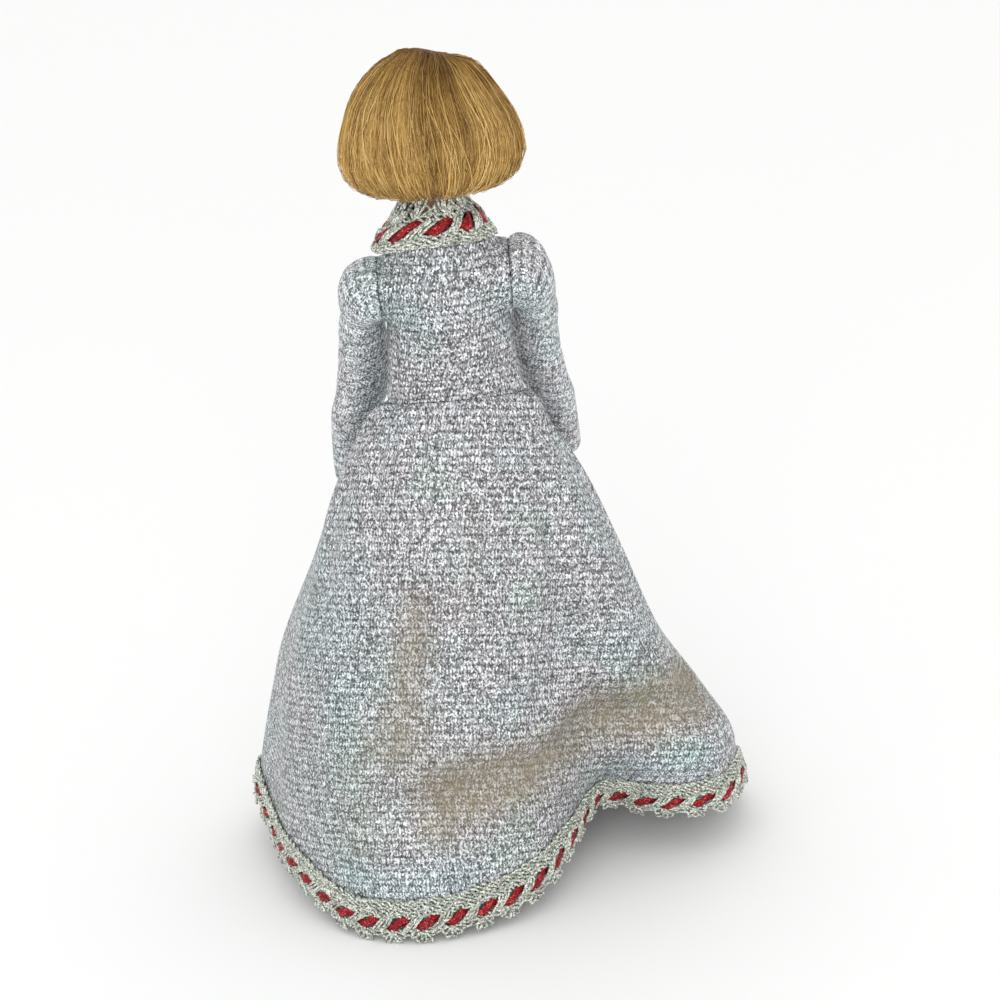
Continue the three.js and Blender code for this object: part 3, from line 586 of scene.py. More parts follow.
# %% The line of the hem
HEM_HALF_WIDTH = 88
HEM_HALF_DEPTH = 62
HEM_FORWARD = -20
HEM_START = math.radians(-18)
HEM_SHARES = np.array([
    (0.99, -0.26), (0.91, 0.1), (0.82, 0.45), (0.58, 0.85), (0.32, 0.97),
    (-0.01, 0.88), (-0.17, 0.74), (-0.28, 0.5), (-0.41, 0.19), (-0.65, 0.32),
    (-0.89, 0.32), (-1, 0.06), (-0.95, -0.39), (-0.7, -0.87), (-0.41, -0.84),
    (-0.14, -1.03), (0.16, -0.9), (0.45, -1.02), (0.73, -0.77), (0.93, -0.55),
])
HEM_HEIGHTS = (19, 9, 8, -0.3, -0.3, 2.6, 7, 12, 16, 15, 15, 15, 1, -0.3, 5, -0.3, 5, -0.3, 5, 8)
HEM_SAMPLES = 4001
hem_points = np.c_[HEM_SHARES * (HEM_HALF_WIDTH, HEM_HALF_DEPTH) + (0, HEM_FORWARD), HEM_HEIGHTS]
share_table = np.linspace(0, 1, HEM_SAMPLES)


def hem_line(share):
    """Points on the closed smooth curve through the hem's points."""
    count = len(hem_points)
    along = (np.asarray(share, float) % 1) * count
    i = np.floor(along).astype(int)
    u = (along - i)[..., None]
    p0, p1, p2, p3 = (hem_points[(i + k) % count] for k in (-1, 0, 1, 2))
    d0, d1, d2 = (
        np.sqrt(np.linalg.norm(b - a, axis=-1, keepdims=True))
        for a, b in ((p0, p1), (p1, p2), (p2, p3))
    )
    leave = ((p1 - p0) / d0 - (p2 - p0) / (d0 + d1) + (p2 - p1) / d1) * d1
    arrive = ((p2 - p1) / d1 - (p3 - p1) / (d1 + d2) + (p3 - p2) / d2) * d1
    bend = -3 * p1 + 3 * p2 - 2 * leave - arrive
    return p1 + leave * u + bend * u**2 + (2 * p1 - 2 * p2 + leave + arrive) * u**3


def run_along(points):
    """How far each point lies along the line through them all."""
    return np.r_[0, np.cumsum(np.linalg.norm(np.diff(points, axis=0), axis=1))]


print("hem about", round(run_along(hem_line(share_table))[-1]), "mm")

# %% The skirt's surface from waist to hem
WAIST_HEIGHT = 180
WAIST_HALF_WIDTH = 23
WAIST_HALF_DEPTH = 18
WAIST_TILT = 0.29
SKIRT_HALF_WIDTH = HEM_HALF_WIDTH - 2  # without the folds
SWELL_DOWN = (0, 0.06, 0.2, 0.37, 0.58, 0.72, 0.87, 1)
SWELL_LEFT = (0, 0.14, 0.34, 0.51, 0.75, 0.85, 0.94, 1)
SWELL_RIGHT = (0, 0.075, 0.255, 0.41, 0.59, 0.79, 0.95, 1)
FOLD_GROWTH = 1.8
BACK_SHARE = 0.3  # the middle of the back, round the hem
NEARBY = 1e-3  # a small step over a surface


def skirt_surface(share, down):
    """Points of the skirt: share goes round from the doll's left by the back, down from waist to hem."""
    share, down = np.broadcast_arrays(np.asarray(share, float), np.asarray(down, float))
    turn = HEM_START + TURN * share
    c, s = np.cos(turn), np.sin(turn)
    waist_z = WAIST_HEIGHT + WAIST_TILT * WAIST_HALF_DEPTH * s
    hem = hem_line(share)
    swell = mix(through(SWELL_DOWN, SWELL_RIGHT, down), through(SWELL_DOWN, SWELL_LEFT, down), (1 + c) / 2)
    out = xyz(SKIRT_HALF_WIDTH * c, HEM_FORWARD + HEM_HALF_DEPTH * s)
    waist = xyz(WAIST_HALF_WIDTH * c, WAIST_HALF_DEPTH * s)
    plan = mix(waist, out, swell[..., None]) + (hem[..., :2] - out) * (down**FOLD_GROWTH)[..., None]
    return np.concatenate([plan, mix(waist_z, hem[..., 2], down)[..., None]], -1)


def outward(across, rise):
    """Directions straight out of a surface that goes across and up that way."""
    out = np.cross(across, rise)
    return out / np.linalg.norm(out, axis=-1, keepdims=True)


def skirt_outward(share, down):
    """Directions straight out of the skirt."""
    across = skirt_surface(share + NEARBY, down) - skirt_surface(share - NEARBY, down)
    above, below = (skirt_surface(share, np.clip(down + way, 0, 1)) for way in (-NEARBY, NEARBY))
    return outward(across, above - below)


back_fall = skirt_surface(BACK_SHARE, 1.0) - skirt_surface(BACK_SHARE, 0.0)
print("waist to hem at the back", round(np.linalg.norm(back_fall)), "mm")

# %% [markdown]
# Over the big folds lie smaller ones. The waist seam gathers the cloth into short pleats, a long crease
# runs across the lower back where the cloth folds over, and three soft hollows hang above it. Brownish
# shade is painted along the creases from the same lines, and a bluish highlight is painted where the
# cloth stands out between them. Every line is a row of points (share round the skirt, share of the way
# down).

# %% Lines on the skirt
ACROSS_BACK = [(0.2, 0.76), (0.234, 0.73), (0.276, 0.728), (0.346, 0.755), (0.438, 0.738), (0.53, 0.71)]
LEFT_HOLLOW = [(0.225, 0.38), (0.215, 0.5), (0.205, 0.6), (0.188, 0.69)]
RIGHT_HOLLOW = [(0.43, 0.2), (0.41, 0.36), (0.375, 0.52), (0.35, 0.62)]
SIDE_HOLLOW = [(0.15, 0.05), (0.165, 0.13), (0.172, 0.21), (0.174, 0.3)]
LOW_SWELL = [(0.4, 0.83), (0.47, 0.85), (0.53, 0.84)]
LEFT_SWELL = [(0.16, 0.62), (0.15, 0.78), (0.2, 0.86)]
LOW_CREASE = [(0.222, 0.775), (0.234, 0.83)]
CREASES = [  # line, millimetres out of the cloth, width
    (ACROSS_BACK, -3.6, 9), (LEFT_HOLLOW, -1.6, 9), (RIGHT_HOLLOW, -1.5, 12), (SIDE_HOLLOW, -1.6, 8),
    (LOW_SWELL, 2.6, 12), (LEFT_SWELL, 1.8, 16), (LOW_CREASE, -1.2, 6),
]
# painted brown shade along the creases and hollows
BROWN_SHADE_LINES = [  # line, strength, width
    (ACROSS_BACK[1:], 0.95, 12), (LEFT_HOLLOW[:3], 0.7, 10), (LOW_CREASE, 0.3, 6),
    ([(0.44, 0.72), (0.475, 0.7), (0.525, 0.715)], 0.5, 13),
    ([(0.245, 0.7), (0.285, 0.735)], 0.35, 13),
    ([(0.18, 0.64), (0.165, 0.72), (0.17, 0.8)], 0.3, 13),
    ([(0.297, 0.23), (0.292, 0.29), (0.28, 0.36)], 0.25, 9),
]
# painted bluish highlight: line, strength, width
HIGHLIGHT_LINES = [
    ([(0.44, 0.86), (0.488, 0.85)], 0.9, 9), ([(0.165, 0.885), (0.2, 0.885), (0.23, 0.88)], 0.8, 9),
]
LINE_SCALE = np.array([480.0, 187.0])  # millimetres round and down the skirt where the lines lie


def soft_lines(share, down, lines):
    """The sum of all the lines' strengths, each of which falls away over its width."""
    p = xyz(share, down) * LINE_SCALE
    total = 0
    for path, strength, width in lines:
        nearest = np.inf
        corners = np.array(path) * LINE_SCALE
        for a, b in zip(corners, corners[1:]):
            along = np.clip(((p - a) @ (b - a)) / ((b - a) @ (b - a)), 0, 1)
            nearest = np.minimum(nearest, np.linalg.norm(p - a - along[..., None] * (b - a), axis=-1))
        total = total + strength * bell(nearest, 0, width)
    return total


print("creases", len(CREASES), "and brown_shaded lines", len(BROWN_SHADE_LINES))

# %% Gathers and creases
GATHERS = 46
WANDER = [(1.7, 3, 0), (1.1, 7, 1)]  # size, waves round the skirt, where they start
GATHER_DEPTH = 0.5
GATHER_LENGTH = 0.13  # this and the next are shares of the way from waist to hem
SEAM_END = 0.012
PUFF = (0.03, 0.022)
PLEATS = 13
PLEAT_DEPTH = 0.55
PLEATS_GROW = (0.02, 0.2)
PLEATS_FADE = (0.3, 0.75)
CREASES_FADE = (0.86, 0.94)


def skirt_relief(share, down):
    """How far the small folds stand out of the skirt, in millimetres."""
    wander = sum(size * np.sin(waves * TURN * share + start) for size, waves, start in WANDER)
    gathers = np.cos(GATHERS * TURN * share + wander) * bell(down, 0, GATHER_LENGTH) * ease(0, SEAM_END, down)
    pleats = np.cos(PLEATS * TURN * share + wander)
    pleats *= ease(*PLEATS_GROW, down) * (1 - ease(*PLEATS_FADE, down))
    creases = soft_lines(share, down, CREASES) * (1 - ease(*CREASES_FADE, down))
    return GATHER_DEPTH * gathers + bell(down, *PUFF) + PLEAT_DEPTH * pleats + creases


print("gathers", GATHERS, "of", GATHER_DEPTH, "mm")

# %% Bend the skirt, and give the cloth its thickness
CLOTH = 1.1
CLOTH_END = 0.955
SKIRT_COLUMNS = 276
SKIRT_ROWS = 116
ROW_DIP = 0.445  # fall of the knitted rows from back to front
ROW_LEAN = 0.094  # and from the doll's left to its right
LEVEL_ROWS = (-0.5, 0.3)  # from the front to where the rows lie level


def on_skirt(rule):
    """A rule of the skirt's share and down, for the columns and rows of its grid."""
    return lambda across, down: rule(across + BACK_SHARE - 0.5, down * CLOTH_END)


def skirt_cloth(share, down):
    """Points of the skirt with all its folds."""
    return skirt_surface(share, down) + skirt_outward(share, down) * skirt_relief(share, down)[:, None]


def skirt_shading(lines):
    """A mark from 0 to 1 along those lines, for painted brown shade and a painted bluish highlight."""
    return on_skirt(lambda share, down: np.clip(soft_lines(share, down, lines), 0, 1))


def skirt_knit(across, down, points):
    """Millimetres down the knit: rows in one plane over the back, and along the hem in front."""
    x, y, z = points.T
    back = ease(*LEVEL_ROWS, np.sin(HEM_START + TURN * (across + BACK_SHARE - 0.5)))
    along_hem = down * CLOTH_END * LINE_SCALE[1]
    return mix(along_hem, WAIST_HEIGHT - z + ROW_DIP * y + ROW_LEAN * x, back)


def shell_area(piece):
    """Half of a thin shell's whole surface, in square metres."""
    return sum(face.area for face in piece.data.polygons) / 2


skirt_marks = {"painted_brown_shade": skirt_shading(BROWN_SHADE_LINES), "painted_highlight": skirt_shading(HIGHLIGHT_LINES)}
skirt = bent_grid("skirt_cloth", SKIRT_COLUMNS, SKIRT_ROWS, on_skirt(skirt_cloth), skirt_marks, skirt_knit)
thicken(skirt, CLOTH)
fit(skirt, "torso", silver_knit, "skirt")
print("skirt cloth", round(shell_area(skirt), 4), "square metres")

# %% [markdown]
# ## Crocheted lace and threaded ribbon
# The trim is one pattern at hem and neck. Plaited chains and small arches make a firm heading, bundles of
# slanted bars cross a row of open windows, one more chain closes them, and a fan of loops hangs from it in
# every repeat. A ribbon runs through the windows, under the bars and over the thread between them. The
# pattern is drawn flat, as (repeats along, millimetres down, millimetres out), and then laid on the hem or
# on the collar.

# %% Draw the lace pattern flat
THREAD = 0.46  # radius
HEADING_ROWS = (0.9, 2.55, 4.2, 5.85)
CLOSING_ROW = 11.3
PLAITS = 4  # crossings in one repeat
PLAIT_POINTS = 14
PLAIT_HALF = 0.62
PLAIT_LIFT = (0.4, 0.42)  # this and the other lifts: how far out a thread lies, and how far it rises
BARS = (0.0, 0.1, 0.2, 0.3)
BAR_LEAN = 0.25
BAR_ROWS = (HEADING_ROWS[-1] + 0.3, CLOSING_ROW - 0.2)
BAR_LIFT = (0.6, 1.1)
WINDOW = sum(BARS) / len(BARS) + 0.5  # the middle of the open window in a repeat
ARCHES = ((0.2, 1.3), (0.33, 2.7))  # half width in repeats, and height
ARCH_PLACE = WINDOW + 0.1
ARCH_LIFT = 1.0
FAN_PLACE = WINDOW - 0.25
FAN_ROW = CLOSING_ROW + 0.5
FAN_LOOPS = (-70, -35, 0, 35, 70)
FAN_LIFTS = (0.5, 0.9, 0.5, 0.9, 0.5)
FAN_REACH = 4.2
LOOP_HALF_WIDTH = 1.15
LOOP_RISE = 0.3
LINK = (0.22, 0.78)  # where the thread to the next fan starts and ends
LINK_ROW = CLOSING_ROW + 0.6
LINK_SAG = 1.2
LINK_LIFT = 0.4


def plait(repeats, row):
    """Two strands that twist round each other along a row."""
    along = np.linspace(0, repeats, repeats * PLAIT_POINTS, endpoint=False)
    swings = [math.pi * PLAITS * along + side for side in (0, math.pi)]
    return [
        (xyz(along, row + PLAIT_HALF * np.sin(swing), PLAIT_LIFT[0] + PLAIT_LIFT[1] * np.cos(swing)), True)
        for swing in swings
    ]


def arches():
    """Small arches of thread that lie over a window."""
    turn = np.linspace(0, math.pi, 9)
    c, s, lift = np.cos(turn), np.sin(turn), ARCH_LIFT + 0 * turn
    return [(xyz(ARCH_PLACE - half * c, HEADING_ROWS[-1] - high * s, lift), False) for half, high in ARCHES]


def bars():
    """A bundle of slanted threads that crosses the row of windows over the ribbon."""
    u = np.linspace(0, 1, 6)
    lift = BAR_LIFT[0] + BAR_LIFT[1] * np.sin(math.pi * u)
    return [(xyz(bar + BAR_LEAN * (1 - 2 * u), mix(*BAR_ROWS, u), lift), False) for bar in BARS]


def fan(pitch):
    """The loops under a repeat, and the thread that links their fan to the next."""
    turn = np.linspace(0, TURN, 10, endpoint=False)
    far = 0.5 - 0.5 * np.cos(turn)
    side = LOOP_HALF_WIDTH * np.sin(turn) * np.sqrt(far)
    made = []
    for lean, lift in zip(FAN_LOOPS, FAN_LIFTS):
        c, s = math.cos(math.radians(lean)), math.sin(math.radians(lean))
        along = FAN_PLACE + (FAN_REACH * far * s + side * c) / pitch
        down = FAN_ROW + FAN_REACH * far * c - side * s
        made.append((xyz(along, down, lift + LOOP_RISE * np.sin(turn)), True))
    u = np.linspace(0, 1, 8)
    link = xyz(FAN_PLACE + mix(*LINK, u), LINK_ROW + LINK_SAG * np.sin(math.pi * u), LINK_LIFT + 0 * u)
    return [*made, (link, False)]


print("threads in one repeat:", len([*arches(), *bars(), *fan(1)]))

# %% Repeat the pattern with a hand's uneven tension
SWAY = [(0.03, 1.6, 1.7)]  # size, waves in a repeat, and how the wave turns from row to row
DRIFT = [(0.22, 2.7, 1), (0.18, 0.6, 2)]
HEAVE = [(0.14, 3.4, 3)]


def unsteady(flat, repeats):
    """The same points, moved about a little along, down and out."""
    moved = flat.copy()
    for axis, waves in enumerate((SWAY, DRIFT, HEAVE)):
        for size, often, fall in waves:
            turn = round(often * repeats) * TURN * flat[:, 0] / repeats
            moved[:, axis] += size * np.sin(turn + fall * flat[:, 1])
    return moved


def lace(repeats, pitch, heading):
    """All the flat threads of one trim with those heading rows."""
    flat = sum((plait(repeats, row) for row in (*heading, CLOSING_ROW)), [])
    for drawn in (arches(), bars(), fan(pitch)):
        for repeat in range(repeats):
            flat += [(points + (repeat, 0, 0), closed) for points, closed in drawn]
    return [(unsteady(points, repeats), closed) for points, closed in flat]


print("threads in ten repeats:", len(lace(10, 1, HEADING_ROWS)))

# %% The ribbon in the lace
RIBBON_ROW = 8.6
RIBBON_WIDTH = 3.3
RIBBON_THICKNESS = 0.28
RIBBON_STEPS = 14  # columns in one repeat
RIBBON_STRIPS = 4  # and across
RIBBON_LEAN = 1.25
RIBBON_LIFT = 0.3
RIBBON_RISE = 1.2
RIBBON_CROWN = 0.25


def weave(along, down):
    """The flat ribbon: it dips under each bundle of bars and rises between them."""
    turn = TURN * (along - WINDOW)
    row = RIBBON_ROW + (down - 0.5) * RIBBON_WIDTH - RIBBON_LEAN * np.sin(turn)
    over = 0.5 + 0.5 * np.cos(turn)
    return xyz(along, row, RIBBON_LIFT + RIBBON_RISE * over + RIBBON_CROWN * np.sin(math.pi * down))


def trim(edge, repeats, pitch, heading, lay):
    """Lace with its ribbon on one edge of the gown. Lay carries flat points to that edge."""
    paths = [(lay(points), closed) for points, closed in lace(repeats, pitch, heading)]
    band = threads(f"{edge}_threads", paths, THREAD)
    fit(band, "torso", lace_thread, f"{edge}_lace")
    columns = repeats * RIBBON_STEPS
    ribbon = bent_grid(f"{edge}_band", columns, RIBBON_STRIPS, lambda a, d: lay(weave(a * repeats, d)))
    thicken(ribbon, RIBBON_THICKNESS)
    fit(ribbon, "torso", red_ribbon, f"{edge}_ribbon")
    print(edge, "trim repeats every", round(pitch, 2), "mm")
    return [band, ribbon]


print("ribbon", RIBBON_WIDTH, "mm wide")

# %% Lay the lace on the hem
LACE_START = 0.912
LACE_MIDDLE = 0.97
LACE_DROP = 16.4  # millimetres of lace below its start
LACE_LIFT = 0.35  # off the cloth
HEM_REPEATS = 50
THREAD_FLOOR = 0.5  # lowest that a thread's middle may lie
hem_run = run_along(skirt_surface(share_table, LACE_MIDDLE))


def on_hem(flat):
    """Flat lace points as doll millimetres on the skirt's edge."""
    along, down, out = flat.T
    share = np.interp((along / HEM_REPEATS) % 1, hem_run / hem_run[-1], share_table)
    low = np.clip(LACE_START + (1 - LACE_START) * down / LACE_DROP, 0, 1)
    points = skirt_surface(share, low) + skirt_outward(share, low) * (out + LACE_LIFT)[:, None]
    beyond = np.maximum(0, down - LACE_DROP)
    points[:, 2] = np.maximum(points[:, 2] - beyond, THREAD_FLOOR)
    return points


hem_trim = trim("hem", HEM_REPEATS, hem_run[-1] / HEM_REPEATS, HEADING_ROWS, on_hem)
print("hem trim", round(hem_run[-1]), "mm round")

# %% [markdown]
# ## The bodice
# The bodice is a loose tube of the same knit, sewn to the skirt at a waist seam that dips to the front,
# closed over the shoulders, and open at a round armhole on each side. Its sections are ovals that follow
# the doll's figure with some ease. At the shoulders a flat round is blended in, so that the armhole lies
# in one plane and the sleeve can turn on it.

# %% The bodice's surface
SHOULDER_HEIGHT = joint_at["left_shoulder"][2] / MM
ARMHOLE_PLANE = 20.5
ARMHOLE_RADIUS = 11.5
LEFT_RISE = 8.8  # the left armhole is flatter at the top
BODICE_HEIGHTS = (179.7, 189.9, 198.2, 206, 214.1, 222.1, 229, 233.9, 238, 241)
BODICE_WIDTHS = (22.2, 20.8, 20.2, 19.8, 19.8, 20.3, 19.0, 15.6, 12.1, 9.8)
BODICE_DEPTHS = (17.2, 16.6, 17.1, 18.6, 16.8, 13.3, 11.5, 10.6, 10.6, 9.9)
BODICE_CENTRES = (0, -0.5, -1.5, -2.8, -1.5, 0, 0.5, 0.8, 0.5, 0.2)
SEAM_BLEND = 0.6
DRAG_DEPTH = 0.5  # folds that run from the armpits towards the neck
DRAG_SIDE = (0.55, 0.3)  # middle and width of their place, as an angle from the middle of the back
DRAG_HEIGHT = (213, 11)
DRAG_ROUND = 11.3
DRAG_UP = 0.63
SEAM_GATHERS = 17
SEAM_GATHER_DEPTH = 0.5
SEAM_GATHERS_GROW = (180.5, 184)
SEAM_GATHERS_FADE = (181, 197)
TINY = 1e-6


def armhole_rise(x, z):
    """How far the armhole reaches from its middle, upwards or downwards, on the side of x."""
    return np.where((x > 0) & (z > SHOULDER_HEIGHT), LEFT_RISE, ARMHOLE_RADIUS)


def bodice_cloth(across, down):
    """Points of the bodice before its armholes are opened."""
    z = mix(BODICE_HEIGHTS[-1], BODICE_HEIGHTS[0], down)
    turn = math.pi / 2 + TURN * (across - 0.5)
    c, s = np.cos(turn), np.sin(turn)
    width, depth, centre = (
        through(BODICE_HEIGHTS, sizes, z) for sizes in (BODICE_WIDTHS, BODICE_DEPTHS, BODICE_CENTRES)
    )
    oval = 1 / np.hypot(c / width, s / depth)
    chord = ARMHOLE_RADIUS * np.sqrt(np.maximum(0, 1 - ((z - SHOULDER_HEIGHT) / armhole_rise(c, z)) ** 2))
    to_edge = np.where(s > 0, chord - centre, chord + centre) / np.maximum(np.abs(s), TINY)
    to_plane = ARMHOLE_PLANE / np.maximum(np.abs(c), TINY)
    flange = np.minimum(to_plane, np.maximum(to_edge, 0)) * (chord > 0)
    reach = SEAM_BLEND * np.logaddexp(oval / SEAM_BLEND, flange / SEAM_BLEND)
    reach = np.minimum(reach, np.where(chord > 0, to_plane, reach))
    off_back = np.abs(turn - math.pi / 2)
    drag = bell(off_back, *DRAG_SIDE) * bell(z, *DRAG_HEIGHT)
    reach = reach + DRAG_DEPTH * drag * np.sin(DRAG_ROUND * off_back + DRAG_UP * z)
    low = ease(*SEAM_GATHERS_GROW, z) * (1 - ease(*SEAM_GATHERS_FADE, z))
    reach = reach + SEAM_GATHER_DEPTH * low * np.cos(SEAM_GATHERS * turn + 2 * np.sin(3 * turn))
    y = centre + reach * s
    tilt = WAIST_TILT * (1 - ease(BODICE_HEIGHTS[0], BODICE_HEIGHTS[2], z))
    return xyz(reach * c, y, z + tilt * y)


print("armholes", 2 * ARMHOLE_RADIUS, "mm across")

# %% Bend the bodice and open its armholes
BODICE_GRID = (168, 92)
# painted shade: the bodice's knit is a little darker
BODICE_PAINTED_SHADE = -0.025
ARMHOLE_OPENING = 8.4
ARMHOLE_DEPTH = 1.5  # cloth within this of the armhole's plane is cut out


def sheen(value):
    """The mark that paints the knit that much lighter, or darker where it is below zero: painted light and
    shade.
    """
    return {"sheen": lambda across, down: value + 0 * down}


bodice = bent_grid("bodice_cloth", *BODICE_GRID, bodice_cloth, sheen(BODICE_PAINTED_SHADE))
pick(bodice)
bpy.ops.object.mode_set(mode="EDIT")
bpy.ops.mesh.select_mode(type="FACE")
bpy.ops.mesh.select_all(action="DESELECT")
bpy.ops.object.mode_set(mode="OBJECT")
for face in bodice.data.polygons:
    x, y, z = (np.array(face.center) - DOLL_AXIS) / MM
    high = (z - SHOULDER_HEIGHT) * ARMHOLE_RADIUS / armhole_rise(x, z)
    face.select = math.hypot(y, high) < ARMHOLE_OPENING and abs(x) > ARMHOLE_PLANE - ARMHOLE_DEPTH
bpy.ops.object.mode_set(mode="EDIT")
bpy.ops.mesh.delete(type="FACE")
bpy.ops.mesh.select_mode(type="VERT")
bpy.ops.object.mode_set(mode="OBJECT")
thicken(bodice, CLOTH)
fit(bodice, "torso", silver_knit, "bodice")
print("bodice cloth", round(shell_area(bodice), 4), "square metres")

# %% [markdown]
# ## The sleeves
# Each sleeve is a long tube whose top is gathered into a low puff. The top is built as a fan: rings that
# all pass through the armpit swing out from the upright armhole to the level top of the tube, so the cap
# is full outside and short inside, as a cut sleeve head is. The sleeve rides on the arm. It is drawn as
# if the arm hung straight down from the shoulder, and then swung forward with it.

# %% The sleeve's surface
SIGN = {"left": 1, "right": -1}
ARM_SWING = math.radians(30)
ARM_OFFSET = 26
SPREAD = {"left": 0.142, "right": 0.1}
ARMPIT = (20.55, -10.7)
CUFF = {"left": -95.0, "right": -89.0}
CAP_SHARE = 0.3  # of the sleeve's rows
CAP_SWING = math.radians(12)
CAP_ANGLES = (0, 7, 18, 32, 46, 66, 90)
CAP_REACH = {
    "left": (19.1, 19.3, 19.3, 19.1, 17.6, 14.9, 13.2),
    "right": (21.1, 22.9, 23.0, 21.0, 18.2, 15.4, 14.0),
}
CAP_DEPTH = (11.2, 11.9, 11.8, 11.2, 10.3, 9.2, 8.4)
CAP_GATHERS = 15
CAP_GATHER_DEPTH = 0.42
CAP_GATHER_PLACE = (14, 20)  # middle and width, as angles of the cap
CAP_MEETS = 0.22  # share of the tube over which it comes away from the cap
SWING_ANGLES = 100  # the swing grows over these angles of the cap, and on past it
SWING_PAST = 40
TUBE_HALF_WIDTH = {
    "left": [(-95, 5.9), (-89, 6.6), (-72, 7.8), (-55, 8.6), (-38, 9.0), (-24, 8.0), (-10.7, 6.6)],
    "right": [(-89, 5.7), (-84, 6.0), (-72, 6.6), (-55, 7.6), (-38, 8.1), (-24, 7.7), (-10.7, 7.0)],
}
TUBE_HALF_DEPTH = [(-95, 5.9), (-89, 6.1), (-84, 6.4), (-60, 7.0), (-38, 7.6), (-10.7, 8.4)]
TUBE_CREASE = 0.14
TUBE_CREASE_WAVES = 0.42
TUBE_CREASE_SLANT = 2.2
TUBE_CREASES_START = (-80, -60)
HUG = 2.3  # how far the tube lies in towards the body
HUG_START = (-68, -44)
HUG_END = (-36, -12)


def hang(side, x, y, z, swing=ARM_SWING):
    """Points of an arm that hangs from the shoulder, swung forward on its side of the doll."""
    back = y * np.cos(swing) + z * np.sin(swing)
    up = SHOULDER_HEIGHT - y * np.sin(swing) + z * np.cos(swing)
    return xyz(SIGN[side] * x, back, up)


def arm_axis(side, z):
    """How far out the middle of the arm lies at that height."""
    return ARM_OFFSET - SPREAD[side] * z


def cap_and_tube(down):
    """How far down the cap a point of the sleeve lies, and how far down the tube."""
    return np.clip(down / CAP_SHARE, 0, 1), np.clip((down - CAP_SHARE) / (1 - CAP_SHARE), 0, 1)


def sleeve_cloth(side):
    """The surface of one sleeve."""

    def surface(across, down):
        turn = SIGN[side] * TURN * (across - 0.5)
        cap, tube = cap_and_tube(down)
        angle = 90 * cap
        z_tube = mix(ARMPIT[1], CUFF[side], tube)
        in_tube = down > CAP_SHARE
        tube_width = through(*np.transpose(TUBE_HALF_WIDTH[side]), z_tube)
        half = np.where(in_tube, tube_width, through(CAP_ANGLES, CAP_REACH[side], angle) / 2)
        tube_depth = through(*np.transpose(TUBE_HALF_DEPTH), z_tube)
        deep = np.where(in_tube, tube_depth, through(CAP_ANGLES, CAP_DEPTH, angle))
        pleat = bell(angle, *CAP_GATHER_PLACE) * (1 + np.cos(turn)) / 2
        gathers = CAP_GATHER_DEPTH * pleat * np.cos(CAP_GATHERS * turn)
        waves = np.sin(z_tube * TUBE_CREASE_WAVES + TUBE_CREASE_SLANT * np.cos(turn))
        creases = TUBE_CREASE * waves * in_tube * ease(*TUBE_CREASES_START, z_tube)
        swell = 1 + (gathers + creases) / half
        along = half + half * swell * np.cos(turn)
        hug = HUG * ease(*HUG_START, z_tube) * (1 - ease(*HUG_END, z_tube))
        drift = arm_axis(side, z_tube) - hug
        x_tube = mix(ARMPIT[0] + half, drift, ease(0, CAP_MEETS, tube)) + half * swell * np.cos(turn)
        x = np.where(in_tube, x_tube, ARMPIT[0] + along * np.sin(np.radians(angle)))
        z = np.where(in_tube, z_tube, ARMPIT[1] + along * np.cos(np.radians(angle)))
        swing = mix(CAP_SWING, ARM_SWING, ease(0, SWING_ANGLES, angle + SWING_PAST * in_tube))
        return hang(side, x, deep * swell * np.sin(turn), z, swing)

    return surface


print("sleeve from", ARMPIT, "to", CUFF)

# %% Bend both sleeves
SLEEVE_GRID = (90, 120)
SLEEVE_PAINTED_LIGHT = 0.05  # painted light: the sleeves face down, away from the lamp
SLEEVE_ROW_LEAN = 0.35  # the knitted rows rise to the outside
LEAN_START = 0.25
SLEEVE_STRETCH = 0.68  # the worn sleeve's rows are pulled further apart
CAP_ROWS = 8


def sleeve_knit(side):
    """Millimetres down the knit: rows that fan out over the cap, then rise to the outside of the tube."""

    def rows(across, down, points):
        cap, tube = cap_and_tube(down)
        down_tube = SLEEVE_STRETCH * tube * (ARMPIT[1] - CUFF[side])
        lean = SLEEVE_ROW_LEAN * ease(0, LEAN_START, tube) * (np.abs(points[:, 0]) - ARM_OFFSET)
        return down_tube + CAP_ROWS * ROW_PITCH * (cap - 1) - lean

    return rows


for side in SIGN:
    name = f"{side}_sleeve"
    sleeve = bent_grid(
        f"{name}_cloth", *SLEEVE_GRID, sleeve_cloth(side), sheen(SLEEVE_PAINTED_LIGHT), sleeve_knit(side)
    )
    thicken(sleeve, CLOTH)
    fit(sleeve, f"{side}_arm", silver_knit, name)
    print(side, "sleeve cloth", round(shell_area(sleeve), 4), "square metres")

# %% [markdown]
# ## The collar
# The neckline carries the same trim as the hem, turned upside down: a narrow heading lies on the shoulders,
# lower on the doll's left, and the fans stand up tall round the neck. The skin shows a little between two
# fans at the nape. Three sections give the collar's height and reach at the back and on each shoulder.

# %% Lay the lace round the neck
COLLAR_BACK = np.array([(232.6, 13.5), (236.8, 12.9), (240.4, 12.3), (245.0, 11.2), (251.0, 9.8)])
COLLAR_LEFT = np.array([(230.4, 21.6), (232.2, 20.9), (235.2, 18.6), (239.6, 14.8), (246.4, 9.8)])
COLLAR_RIGHT = np.array([(231.8, 18.4), (235.4, 16.0), (239.6, 12.4), (244.4, 9.2), (250.0, 7.6)])
COLLAR_REPEATS = 9
COLLAR_HEADING = HEADING_ROWS[1:]
COLLAR_RISE = [(0, 0.4), (5.85, 5.4), (8.6, 8.1), (11.3, 10.8), (16.5, 20.0)]  # lace rows on the collar
COLLAR_TURN = math.radians(94)  # where a window of the lace lies at the nape
COLLAR_SINK = 0.3
COLLAR_STEP = 0.01
collar_run = run_along(COLLAR_BACK)
collar_pitch = TURN * COLLAR_BACK[2, 1] / COLLAR_REPEATS


